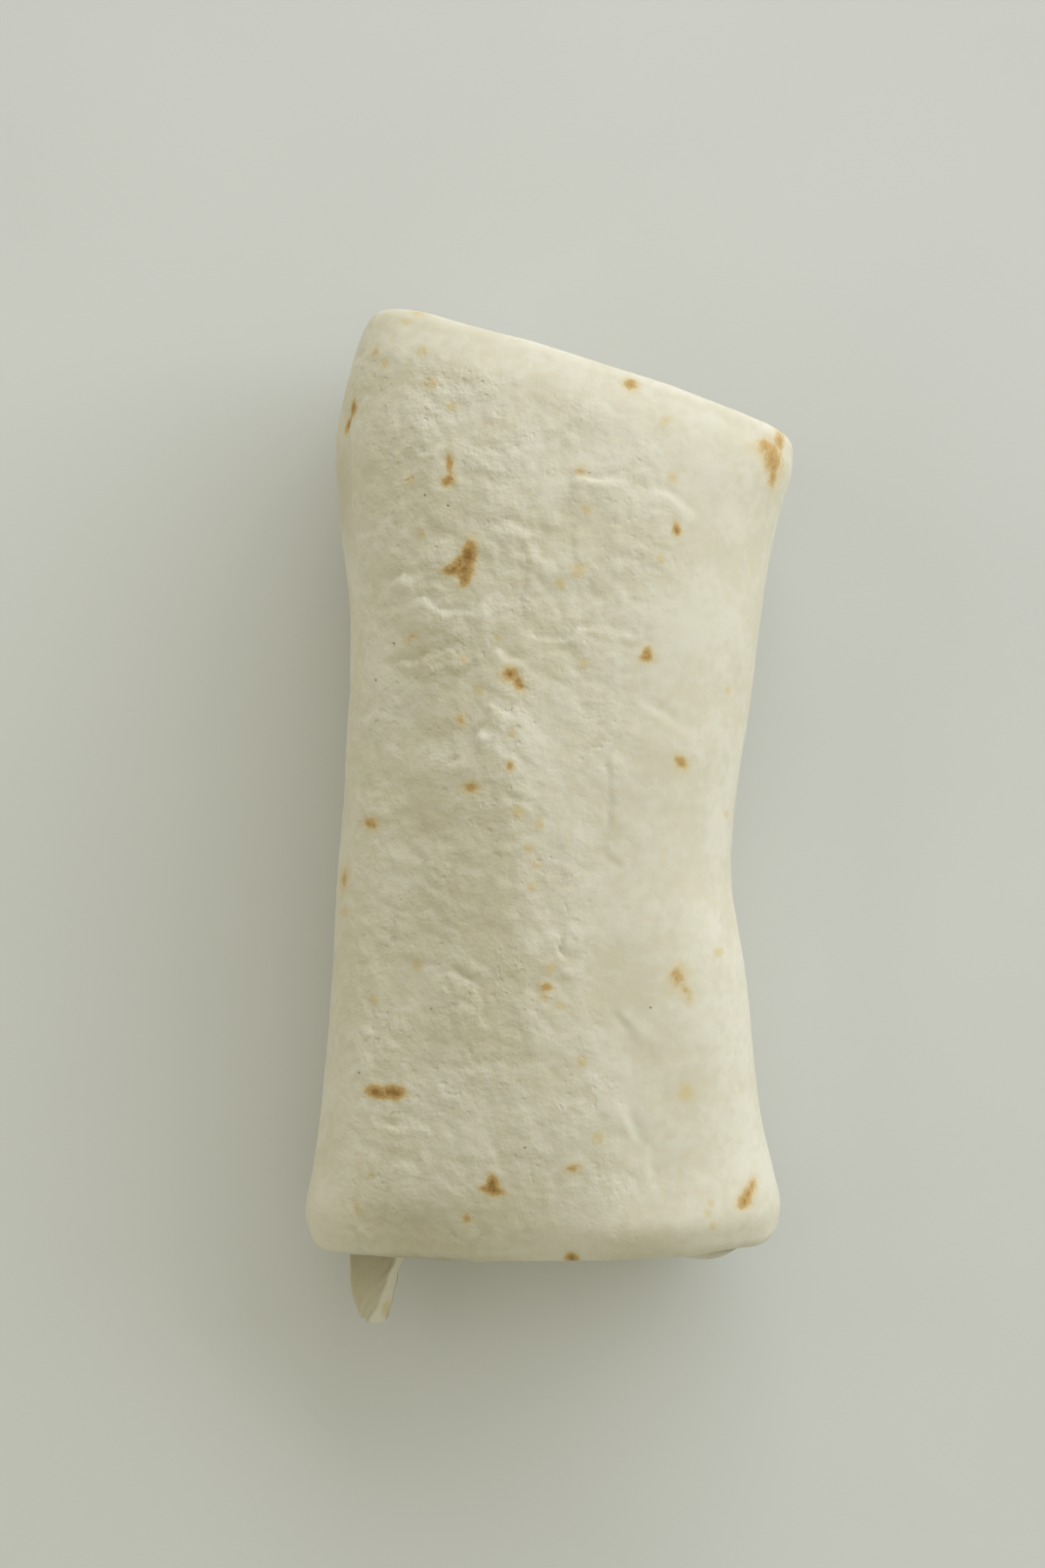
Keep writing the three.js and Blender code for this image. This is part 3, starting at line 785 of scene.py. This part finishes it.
# loose corner of the sheet, between its low left edge and its raised cut edge
corner = {
    "leftEdge": [
        (-29.2, -52.0, 9.5), (-29.4, -59.5, 9.2), (-29.3, -66.3, 8.8), (-28.6, -71.6, 8.3),
        (-26.9, -75.7, 8.2),
    ],
    "cutEdge": [
        (-21.4, -52.0, 16.0), (-21.9, -59.5, 15.2), (-22.7, -66.0, 14.2), (-24.3, -71.0, 12.4),
        (-25.9, -76.1, 10.6),
    ],
    "thickness": [1.2, 1.5, 2.2, 3.2, 3.6],
    "sag": [1.3, 1.2, 1.0, 0.6, 0.2],
    "rows": 64,
    "across": 26,
    "rim": 5,
    "tipShare": 0.035,    # share of the length over which the tip thins out
    "waviness": 0.25,
    "waves": (7.1, 3.7),
    "length": 22,
    "waveSlant": 9,
    "tipMark": {"at": (-24.5, -74.0, 11.5), "reach": (0.9, 2.2, 2.0)},
    # painted shade and a darker tone on all but the lit cut face: inside the roll, at the tip, and how far
    # out it changes
    "paintedShade": (0.6, 0.15, (63, 74)),
    "dampAndShade": (0.9, 0.6, (66, 76)),
}


def buildCorner():
    u = np.linspace(0, 1, corner["rows"])
    left = curveThrough(corner["leftEdge"], corner["rows"])
    cut = curveThrough(corner["cutEdge"], corner["rows"])
    thick = splineThrough(corner["thickness"], u)
    sag = splineThrough(corner["sag"], u)
    width = np.linalg.norm(cut - left, axis=1)
    across = unit(cut - left)
    up = unit(np.cross(across, unit(np.gradient((left + cut) / 2, axis=0))))
    up = np.where(up[:, 2:] < 0, -up, up)
    v = np.linspace(0, 1, corner["across"])
    profile = [(share, 0.5) for share in v]
    profile += [(1.0, 0.5 - k / corner["rim"]) for k in range(1, corner["rim"])]
    profile += [(share, -0.5) for share in v[::-1]]
    profile += [(0.0, -0.5 + k / corner["rim"]) for k in range(1, corner["rim"])]
    pastTip = np.clip((u - 1) / corner["tipShare"] + 1, 0, 1)
    thinning = np.sqrt(np.maximum(1 - pastTip ** 2, 0.02))
    columns = []
    for share, lift in profile:
        dip = 4 * share * (1 - share) * sag
        along = u * corner["length"] + share * corner["waveSlant"]
        wave = corner["waviness"] * wander(along, corner["waves"], 3) * (0.3 + share)
        bulge = 0.5 * (1 - (2 * lift) ** 2) * {0.0: -1, 1.0: 1}.get(share, 0)      # rounds both edges
        point = left + across * (width * share + bulge)[:, None]
        columns.append(point + up * (lift * thick * thinning - dip + wave)[:, None])
    rings = np.stack(columns, axis=1)
    onCut = np.array([share == 1.0 and abs(lift) < 0.5 for share, lift in profile])
    return rings, np.broadcast_to(onCut, rings.shape[:2])


cornerRings, cutFace = buildCorner()
cornerPoints = cornerRings.reshape(-1, 3)
fromTipMark = (cornerPoints - corner["tipMark"]["at"]) / corner["tipMark"]["reach"]


# painted shade on the corner's faces, all but the cut face: strong inside the roll, less toward the tip
def towardTip(inside, atTip, farOut):
    return (1 - cutFace.ravel()) * mix(inside, atTip, smooth(-cornerPoints[:, 1], *farOut))


cornerMarks = {
    "toasted": 0,
    "yellowed": np.exp(-np.linalg.norm(fromTipMark, axis=1) ** 2),
    "speck": 0,
    "blistered": 0,
    "wrinkled": 0.4,
    "lively": 0.5,
    "paintedShade": towardTip(*corner["paintedShade"]),
    "dampAndShade": towardTip(*corner["dampAndShade"]),
}
looseCorner = ringsToPiece("loose_corner", cornerRings, cornerMarks)
print("loose corner bent")

# dough surface, as a node tree that lifts blisters, wrinkles, crumples and grain out of a sheet:
# lengths in mm, the turn in degrees
surface = {
    "blisterGap": 2.1,
    "blisterRadius": 1.5,
    "blisterRise": 0.34,
    "blisterDensity": 600000,      # points on a square metre before the gap thins them out
    "wrinkleGap": 2.8,
    "wrinkleRise": 1.15,
    "wrinkleTurn": 52,
    "crumpleSize": 5.5,
    "crumpleWidth": 0.12,      # how far the noise strays from its middle within a valley
    "crumpleRise": 1.36,       # for each 1 of that noise
    "pebbleSize": 2.4,
    "pebbleRise": 0.22,
    "swellSize": 11.0,
    "swellRise": 0.5,
    "seed": 4,
}


def makeNode(tree, kind, **settings):
    node = tree.nodes.new(kind)
    for name, value in settings.items():
        setattr(node, name, value)
    return node


def feed(tree, socket, value):
    if isinstance(value, bpy.types.NodeSocket):
        tree.links.new(value, socket)
    else:
        socket.default_value = value


def calculate(tree, operation, *values, clamp=False):
    node = makeNode(tree, "ShaderNodeMath", operation=operation, use_clamp=clamp)
    for socket, value in zip(node.inputs, values):
        feed(tree, socket, value)
    return node.outputs[0]


def vectorMath(tree, operation, *values):
    node = makeNode(tree, "ShaderNodeVectorMath", operation=operation)
    for socket, value in zip(node.inputs, values):
        feed(tree, socket, value)
    return node.outputs["Value" if operation == "DISTANCE" else "Vector"]


def noise(tree, vector, size, detail=2.0, roughness=0.5, output="Fac"):
    node = makeNode(tree, "ShaderNodeTexNoise")
    feed(tree, node.inputs["Vector"], vector)
    feed(tree, node.inputs["Scale"], calculate(tree, "DIVIDE", 1.0, size))
    node.inputs["Detail"].default_value = detail
    node.inputs["Roughness"].default_value = roughness
    return node.outputs[output]


def namedAttribute(tree, name):
    node = makeNode(tree, "GeometryNodeInputNamedAttribute", data_type="FLOAT")
    node.inputs["Name"].default_value = name
    return node.outputs["Attribute"]


def doughSurfaceTree():
    tree = bpy.data.node_groups.new("dough surface", "GeometryNodeTree")
    addSocket = tree.interface.new_socket
    addSocket("Sheet", in_out="INPUT", socket_type="NodeSocketGeometry")
    for name in surface:
        addSocket(name, in_out="INPUT", socket_type="NodeSocketInt" if name == "seed" else "NodeSocketFloat")
    addSocket("material", in_out="INPUT", socket_type="NodeSocketMaterial")
    addSocket("Sheet", in_out="OUTPUT", socket_type="NodeSocketGeometry")
    given = makeNode(tree, "NodeGroupInput").outputs
    position = makeNode(tree, "GeometryNodeInputPosition").outputs[0]
    normal = makeNode(tree, "GeometryNodeInputNormal").outputs[0]

    # blisters: a dome round each scattered point, each of its own size
    scatter = makeNode(tree, "GeometryNodeDistributePointsOnFaces", distribute_method="POISSON")
    feed(tree, scatter.inputs["Mesh"], given["Sheet"])
    feed(tree, scatter.inputs["Distance Min"], given["blisterGap"])
    feed(tree, scatter.inputs["Density Max"], given["blisterDensity"])
    feed(tree, scatter.inputs["Seed"], given["seed"])
    nearest = makeNode(tree, "GeometryNodeSampleNearest", domain="POINT")
    feed(tree, nearest.inputs["Geometry"], scatter.outputs["Points"])
    middle = makeNode(tree, "GeometryNodeSampleIndex", data_type="FLOAT_VECTOR", domain="POINT")
    feed(tree, middle.inputs["Geometry"], scatter.outputs["Points"])
    feed(tree, middle.inputs["Value"], makeNode(tree, "GeometryNodeInputPosition").outputs[0])
    feed(tree, middle.inputs["Index"], nearest.outputs["Index"])
    chance = makeNode(tree, "FunctionNodeRandomValue", data_type="FLOAT")
    feed(tree, chance.inputs["ID"], nearest.outputs["Index"])
    feed(tree, chance.inputs["Seed"], given["seed"])
    luck = chance.outputs["Value"]
    reach = calculate(tree, "MULTIPLY", given["blisterRadius"], calculate(tree, "ADD", 0.4, luck))
    gap = calculate(tree, "DIVIDE", vectorMath(tree, "DISTANCE", position, middle.outputs["Value"]), reach)
    cap = calculate(tree, "SUBTRACT", 1.0, calculate(tree, "MULTIPLY", gap, gap), clamp=True)
    dome = calculate(tree, "MULTIPLY", cap, calculate(tree, "MULTIPLY", luck, given["blisterRise"]))
    dome = calculate(tree, "MULTIPLY", dome, namedAttribute(tree, "blistered"))

    # wrinkles: noise drawn out along one slanting way
    turned = makeNode(tree, "ShaderNodeVectorRotate", rotation_type="Z_AXIS")
    feed(tree, turned.inputs["Vector"], position)
    feed(tree, turned.inputs["Angle"], calculate(tree, "RADIANS", given["wrinkleTurn"]))
    drawnOut = vectorMath(tree, "MULTIPLY", turned.outputs[0], (1.0, 0.3, 1.0))
    fold = calculate(tree, "SUBTRACT", noise(tree, drawnOut, given["wrinkleGap"], 1.0), 0.5)
    fold = calculate(tree, "MULTIPLY", fold, given["wrinkleRise"])
    fold = calculate(tree, "MULTIPLY", fold, namedAttribute(tree, "wrinkled"))

    # crumples: soft valleys where a slow noise passes its middle
    slow = noise(tree, position, given["crumpleSize"], 1.5)
    valley = calculate(tree, "ABSOLUTE", calculate(tree, "SUBTRACT", slow, 0.5))
    valley = calculate(tree, "MINIMUM", valley, given["crumpleWidth"])
    crumple = calculate(tree, "MULTIPLY", valley, given["crumpleRise"])

    # pebbly grain, and a slow swell under it
    fine = calculate(tree, "SUBTRACT", noise(tree, position, given["pebbleSize"], 2.0), 0.5)
    fine = calculate(tree, "MULTIPLY", fine, given["pebbleRise"])
    fine = calculate(tree, "ADD", fine, crumple)
    fine = calculate(tree, "MULTIPLY", fine, namedAttribute(tree, "lively"))
    swell = calculate(tree, "SUBTRACT", noise(tree, position, given["swellSize"], 1.0), 0.5)
    swell = calculate(tree, "MULTIPLY", swell, given["swellRise"])

    lift = calculate(tree, "ADD", calculate(tree, "ADD", dome, fold), calculate(tree, "ADD", fine, swell))
    moved = makeNode(tree, "GeometryNodeSetPosition")
    feed(tree, moved.inputs["Geometry"], given["Sheet"])
    scaled = makeNode(tree, "ShaderNodeVectorMath", operation="SCALE")
    feed(tree, scaled.inputs["Vector"], normal)
    feed(tree, scaled.inputs["Scale"], lift)
    feed(tree, moved.inputs["Offset"], scaled.outputs[0])
    real = makeNode(tree, "GeometryNodeRealizeInstances")
    feed(tree, real.inputs[0], moved.outputs[0])
    dressed = makeNode(tree, "GeometryNodeSetMaterial")
    feed(tree, dressed.inputs["Geometry"], real.outputs[0])
    feed(tree, dressed.inputs["Material"], given["material"])
    feed(tree, makeNode(tree, "NodeGroupOutput").inputs[0], dressed.outputs[0])
    return tree


surfaceTree = doughSurfaceTree()


def giveSurface(piece, material, **changes):
    modifier = piece.modifiers.new("dough surface", "NODES")
    modifier.node_group = surfaceTree
    items = surfaceTree.interface.items_tree
    sockets = {item.name: item.identifier for item in items if item.in_out == "INPUT"}
    for name, value in {**surface, **changes}.items():
        isLength = name.endswith(("Gap", "Radius", "Rise", "Size"))
        modifier[sockets[name]] = value * mm if isLength else value
    modifier[sockets["material"]] = material
    evaluated = piece.evaluated_get(bpy.context.evaluated_depsgraph_get())
    mesh = bpy.data.meshes.new_from_object(evaluated)
    piece.modifiers.remove(modifier)
    piece.data = mesh
    places = np.zeros(len(mesh.vertices) * 3, np.float32)
    mesh.vertices.foreach_get("co", places)
    places[2::3] = np.maximum(places[2::3], 0)      # nothing sinks through what it lies on
    mesh.vertices.foreach_set("co", places)
    mesh.update()
    mesh.shade_smooth()
    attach(piece, "root")
    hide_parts("tortilla_wrap")


# flour dough: cream, with toasted and yellowed marks, dark specks, pebbles and pits, and painted shade
dough = {
    "base": (0.735, 0.70, 0.565),
    "floury": (0.80, 0.78, 0.67),
    # damp dough tone, also the base of the painted shade's colour
    "dampAndShade": (0.66, 0.615, 0.455),
    # darker tone for damp dough and for painted shade
    "wetAndShade": (0.52, 0.455, 0.27),
    "yellow": (0.70, 0.56, 0.25),
    "tan": (0.57, 0.36, 0.11),
    "brown": (0.28, 0.14, 0.03),
    "speckled": (0.20, 0.13, 0.08),
    "crumb": (0.80, 0.77, 0.66),
    "baseShare": 0.55,
    "shadeShare": 0.75,   # how strong the painted shade gets where no light goes
    "shadeTone": 0.45,    # how dark its colour is
    # each step of a mark: the levels between which it comes in, and how strong it gets
    "tint": {"levels": (0.3, 0.9), "share": 0.6},
    "halo": {"levels": (0.15, 0.5), "share": 0.45},
    "core": {"levels": (0.39, 0.6), "share": 0.85},
    "heart": {"levels": (0.73, 1.06), "share": 0.8},
    "fleck": {"levels": (0.76, 0.95), "share": 0.8},
    "flourRoughens": 0.25,
    "browningSmooths": 0.15,
}
# pebbles, pits and drifts of flour: sizes in mm
grain = {
    "pebbleShare": 0.85,
    "fineShare": 0.15,
    "finerBy": 3.5,
    "bendSize": 2.0,      # the pits are bent out of shape by a noise of this size, this far
    "bendReach": 1.2,
    "pitLevels": (0.05, 0.32),
    "patchSize": 6.0,     # pits come in patches
    "patchLevels": (0.45, 0.62),
    "driftSize": 11.0,
    "driftShare": 0.65,
}


def groupTree(name, inputs, outputs):
    tree = bpy.data.node_groups.new(name, "ShaderNodeTree")
    for socketName, kind, value in inputs:
        socket = tree.interface.new_socket(socketName, in_out="INPUT", socket_type=kind)
        if value is not None:
            socket.default_value = value
    for socketName, kind in outputs:
        tree.interface.new_socket(socketName, in_out="OUTPUT", socket_type=kind)
    return tree, makeNode(tree, "NodeGroupInput").outputs, makeNode(tree, "NodeGroupOutput").inputs


def blend(tree, share, a, b):
    node = makeNode(tree, "ShaderNodeMix", data_type="RGBA")
    feed(tree, node.inputs["Factor"], share)
    feed(tree, node.inputs["A"], a)
    feed(tree, node.inputs["B"], b)
    return node.outputs["Result"]


def between(tree, value, low, high):
    node = makeNode(tree, "ShaderNodeMapRange", interpolation_type="SMOOTHSTEP")
    feed(tree, node.inputs["Value"], value)
    feed(tree, node.inputs["From Min"], low)
    feed(tree, node.inputs["From Max"], high)
    return node.outputs["Result"]


def grainGroup():
    tree, given, result = groupTree(
        "dough grain",
        [("Vector", "NodeSocketVector", None), ("Pebble Size", "NodeSocketFloat", 0.0012),
         ("Pit Size", "NodeSocketFloat", 0.0009), ("Pit Depth", "NodeSocketFloat", 0.35)],
        [("Height", "NodeSocketFloat"), ("Flour", "NodeSocketFloat")],
    )
    pebbles = noise(tree, given["Vector"], given["Pebble Size"], 2.0, 0.5)
    fineSize = calculate(tree, "DIVIDE", given["Pebble Size"], grain["finerBy"])
    fine = noise(tree, given["Vector"], fineSize, 2.0, 0.5)
    cells = makeNode(tree, "ShaderNodeTexVoronoi", feature="SMOOTH_F1")
    bend = noise(tree, given["Vector"], grain["bendSize"] * mm, 1.0, output="Color")
    bend = vectorMath(tree, "MULTIPLY", bend, [grain["bendReach"] * mm] * 3)
    feed(tree, cells.inputs["Vector"], vectorMath(tree, "ADD", given["Vector"], bend))
    feed(tree, cells.inputs["Scale"], calculate(tree, "DIVIDE", 1.0, given["Pit Size"]))
    pit = calculate(tree, "SUBTRACT", 1.0, between(tree, cells.outputs["Distance"], *grain["pitLevels"]))
    patch = noise(tree, given["Vector"], grain["patchSize"] * mm, 1.0)
    patch = between(tree, patch, *grain["patchLevels"])
    pit = calculate(tree, "MULTIPLY", pit, calculate(tree, "MULTIPLY", patch, given["Pit Depth"]))
    fine = calculate(tree, "MULTIPLY", fine, grain["fineShare"])
    height = calculate(tree, "MULTIPLY_ADD", pebbles, grain["pebbleShare"], fine)
    feed(tree, result["Height"], calculate(tree, "SUBTRACT", height, pit))
    drift = noise(tree, given["Vector"], grain["driftSize"] * mm, 3.0, 0.55)
    drift = calculate(tree, "MULTIPLY", drift, grain["driftShare"])
    flour = calculate(tree, "MULTIPLY_ADD", pebbles, 1 - grain["driftShare"], drift)
    feed(tree, result["Flour"], flour)
    return tree


def toastGroup():
    tree, given, result = groupTree(
        "toast marks",
        [("Base", "NodeSocketColor", None), ("Vector", "NodeSocketVector", None),
         ("Toasted", "NodeSocketFloat", 0.0), ("Yellowed", "NodeSocketFloat", 0.0),
         ("Speck", "NodeSocketFloat", 0.0), ("Ragged Edge", "NodeSocketFloat", 0.5)],
        [("Color", "NodeSocketColor"), ("Browning", "NodeSocketFloat")],
    )
    ragged = calculate(tree, "SUBTRACT", noise(tree, given["Vector"], 0.0014, 5.0, 0.7), 0.5)
    ragged = calculate(tree, "MULTIPLY", ragged, given["Ragged Edge"])
    level = calculate(tree, "ADD", given["Toasted"], ragged)
    faint = calculate(tree, "MULTIPLY_ADD", ragged, 1.7, given["Yellowed"])
    mottle = calculate(tree, "MULTIPLY", noise(tree, given["Vector"], 0.0006, 2.0), 0.35)
    mottled = calculate(tree, "ADD", level, mottle)
    colour = given["Base"]
    shares = {}
    for step, source, tone in (
        ("tint", faint, "yellow"),
        ("halo", level, "yellow"),
        ("core", level, "tan"),
        ("heart", mottled, "brown"),
        ("fleck", given["Speck"], "speckled"),
    ):
        shares[step] = between(tree, source, *dough[step]["levels"])
        strength = calculate(tree, "MULTIPLY", shares[step], dough[step]["share"])
        colour = blend(tree, strength, colour, (*dough[tone], 1))
    feed(tree, result["Color"], colour)
    feed(tree, result["Browning"], calculate(tree, "MULTIPLY", shares["halo"], shares["core"]))
    return tree


doughGrain = grainGroup()
toastMarks = toastGroup()


def attributeOf(tree, name):
    node = makeNode(tree, "ShaderNodeAttribute", attribute_type="GEOMETRY", attribute_name=name)
    return node.outputs["Fac"]


# pebble sizes and bump depths in mm
doughKinds = {
    "outer dough": {
        "tones": ("base", "floury", "dampAndShade"), "pebbleSize": 1.7, "pitDepth": 0.3, "bumpDepth": 0.3,
        "roughness": 0.66,
    },
    "folded dough": {
        "tones": ("base", "floury", "dampAndShade"), "pebbleSize": 1.1, "pitDepth": 0.2, "bumpDepth": 0.24,
        "roughness": 0.66,
    },
    "cut corner dough": {
        "tones": ("crumb", "crumb", "floury"), "pebbleSize": 0.9, "pitDepth": 0.4, "bumpDepth": 0.3,
        "roughness": 0.71,
    },
}


def doughMaterial(name, tones, pebbleSize, pitDepth, bumpDepth, roughness):
    base, floury, dampAndShade = [dough[tone] for tone in tones]
    material = bpy.data.materials.new(name)
    material.use_nodes = True
    tree = material.node_tree
    shader = tree.nodes["Principled BSDF"]
    place = makeNode(tree, "ShaderNodeTexCoord").outputs["Object"]
    grained = makeNode(tree, "ShaderNodeGroup", node_tree=doughGrain)
    feed(tree, grained.inputs["Vector"], place)
    grained.inputs["Pebble Size"].default_value = pebbleSize * mm
    grained.inputs["Pit Size"].default_value = pebbleSize * 0.8 * mm
    grained.inputs["Pit Depth"].default_value = pitDepth
    flour = between(tree, grained.outputs["Flour"], 0.38, 0.62)
    colour = blend(tree, flour, (*dampAndShade, 1), (*floury, 1))
    colour = blend(tree, dough["baseShare"], colour, (*base, 1))
    # darker dough, partly damp and partly painted shade
    colour = blend(tree, attributeOf(tree, "dampAndShade"), colour, (*dough["wetAndShade"], 1))
    # painted shade, toward a darkened damp tone
    shade = calculate(tree, "MULTIPLY", attributeOf(tree, "paintedShade"), dough["shadeShare"])
    colour = blend(tree, shade, colour, (*[c * dough["shadeTone"] for c in dampAndShade], 1))
    marks = makeNode(tree, "ShaderNodeGroup", node_tree=toastMarks)
    feed(tree, marks.inputs["Base"], colour)
    feed(tree, marks.inputs["Vector"], place)
    for markName in ("Toasted", "Yellowed", "Speck"):
        feed(tree, marks.inputs[markName], attributeOf(tree, markName.lower()))
    feed(tree, shader.inputs["Base Color"], marks.outputs["Color"])
    rough = calculate(tree, "MULTIPLY_ADD", grained.outputs["Flour"], dough["flourRoughens"], roughness)
    rough = calculate(tree, "MULTIPLY_ADD", marks.outputs["Browning"], -dough["browningSmooths"], rough)
    feed(tree, shader.inputs["Roughness"], rough)
    shader.inputs["Specular IOR Level"].default_value = 0.35
    shader.inputs["Subsurface Weight"].default_value = 0.25
    shader.inputs["Subsurface Radius"].default_value = (1.0, 0.75, 0.4)
    shader.inputs["Subsurface Scale"].default_value = 1.2 * mm
    bump = makeNode(tree, "ShaderNodeBump")
    bump.inputs["Strength"].default_value = 1.0
    bump.inputs["Distance"].default_value = bumpDepth * mm
    height = calculate(tree, "MULTIPLY", grained.outputs["Height"], attributeOf(tree, "lively"))
    feed(tree, bump.inputs["Height"], height)
    feed(tree, shader.inputs["Normal"], bump.outputs["Normal"])
    return material


outerDough, foldDough, cornerDough = [doughMaterial(name, **kind) for name, kind in doughKinds.items()]
giveSurface(outerSheet, outerDough)
giveSurface(nearFolds, foldDough, swellRise=0.3, wrinkleRise=0.3)
giveSurface(farFolds, foldDough, swellRise=0.3, wrinkleRise=0.3)
giveSurface(looseCorner, cornerDough, swellRise=0.3, pebbleRise=0.1, wrinkleRise=0.2)
print("dough surface and materials given")

# floor, light and camera
studio = {
    "floor": {"half": 3, "colour": (0.735, 0.75, 0.735), "cloudSize": 0.09, "cloudTone": 0.97},
    "window": {"at": (0.87, 1.04, 0.63), "size": (2.8, 1.0), "watts": 25.5, "colour": (0.88, 0.905, 1.0)},
    "reflector": {"at": (-1.2, 0.2, 0.75), "size": (1.0, 1.0), "watts": 2.3, "colour": (1.0, 0.95, 0.97)},
    "room": {"colour": (1.0, 0.975, 0.76), "strength": 0.455},
}
view = {
    "height": 450,        # mm from the camera to the plane it frames
    "plane": 20,          # height of that plane over the floor
    "aim": (-4.1, 4.6),   # the point straight under the camera, on the roll's own plan
    "frameHeight": 230.4,
    "sensor": 36,
}


def plaster():
    floorLook = studio["floor"]
    material = bpy.data.materials.new("pale plaster")
    material.use_nodes = True
    tree = material.node_tree
    shader = tree.nodes["Principled BSDF"]
    place = makeNode(tree, "ShaderNodeTexCoord").outputs["Object"]
    cloud = between(tree, noise(tree, place, floorLook["cloudSize"], 3.0), 0.35, 0.65)
    pale = floorLook["colour"]
    colour = blend(tree, cloud, (*[c * floorLook["cloudTone"] for c in pale], 1), (*pale, 1))
    feed(tree, shader.inputs["Base Color"], colour)
    shader.inputs["Roughness"].default_value = 0.75
    return material


def addFloor():
    mesh = bpy.data.meshes.new("floor")
    half = studio["floor"]["half"]
    corners = [(-half, -half, 0), (half, -half, 0), (half, half, 0), (-half, half, 0)]
    mesh.from_pydata(corners, [], [(0, 1, 2, 3)])
    mesh.materials.append(plaster())
    floor = bpy.data.objects.new("floor", mesh)
    bpy.context.collection.objects.link(floor)


def addSoftLight(name, at, size, watts, colour):
    lamp = bpy.data.objects.new(name, bpy.data.lights.new(name, "AREA"))
    lamp.data.shape = "RECTANGLE"
    lamp.data.size, lamp.data.size_y = size
    lamp.data.energy = watts
    lamp.data.color = colour
    lamp.location = at
    lamp.rotation_euler = (-Vector(at)).to_track_quat("-Z", "Y").to_euler()
    bpy.context.collection.objects.link(lamp)


def addRoomLight(colour, strength):
    world = bpy.data.worlds.new("room")
    world.use_nodes = True
    background = world.node_tree.nodes["Background"]
    background.inputs["Color"].default_value = (*colour, 1)
    background.inputs["Strength"].default_value = strength
    bpy.context.scene.world = world


def addCamera():
    camera = bpy.data.objects.new("camera", bpy.data.cameras.new("camera"))
    camera.data.sensor_width = view["sensor"]
    camera.data.lens = view["sensor"] * view["height"] / view["frameHeight"]
    place = np.array([*view["aim"], view["height"] + view["plane"]]) + shift
    camera.location = place * mm
    bpy.context.collection.objects.link(camera)
    bpy.context.scene.camera = camera


addFloor()
for lightName in ("window", "reflector"):
    addSoftLight(lightName, **studio[lightName])
addRoomLight(**studio["room"])
addCamera()
bpy.context.scene.view_settings.view_transform = "Standard"
print("floor, light and camera set")
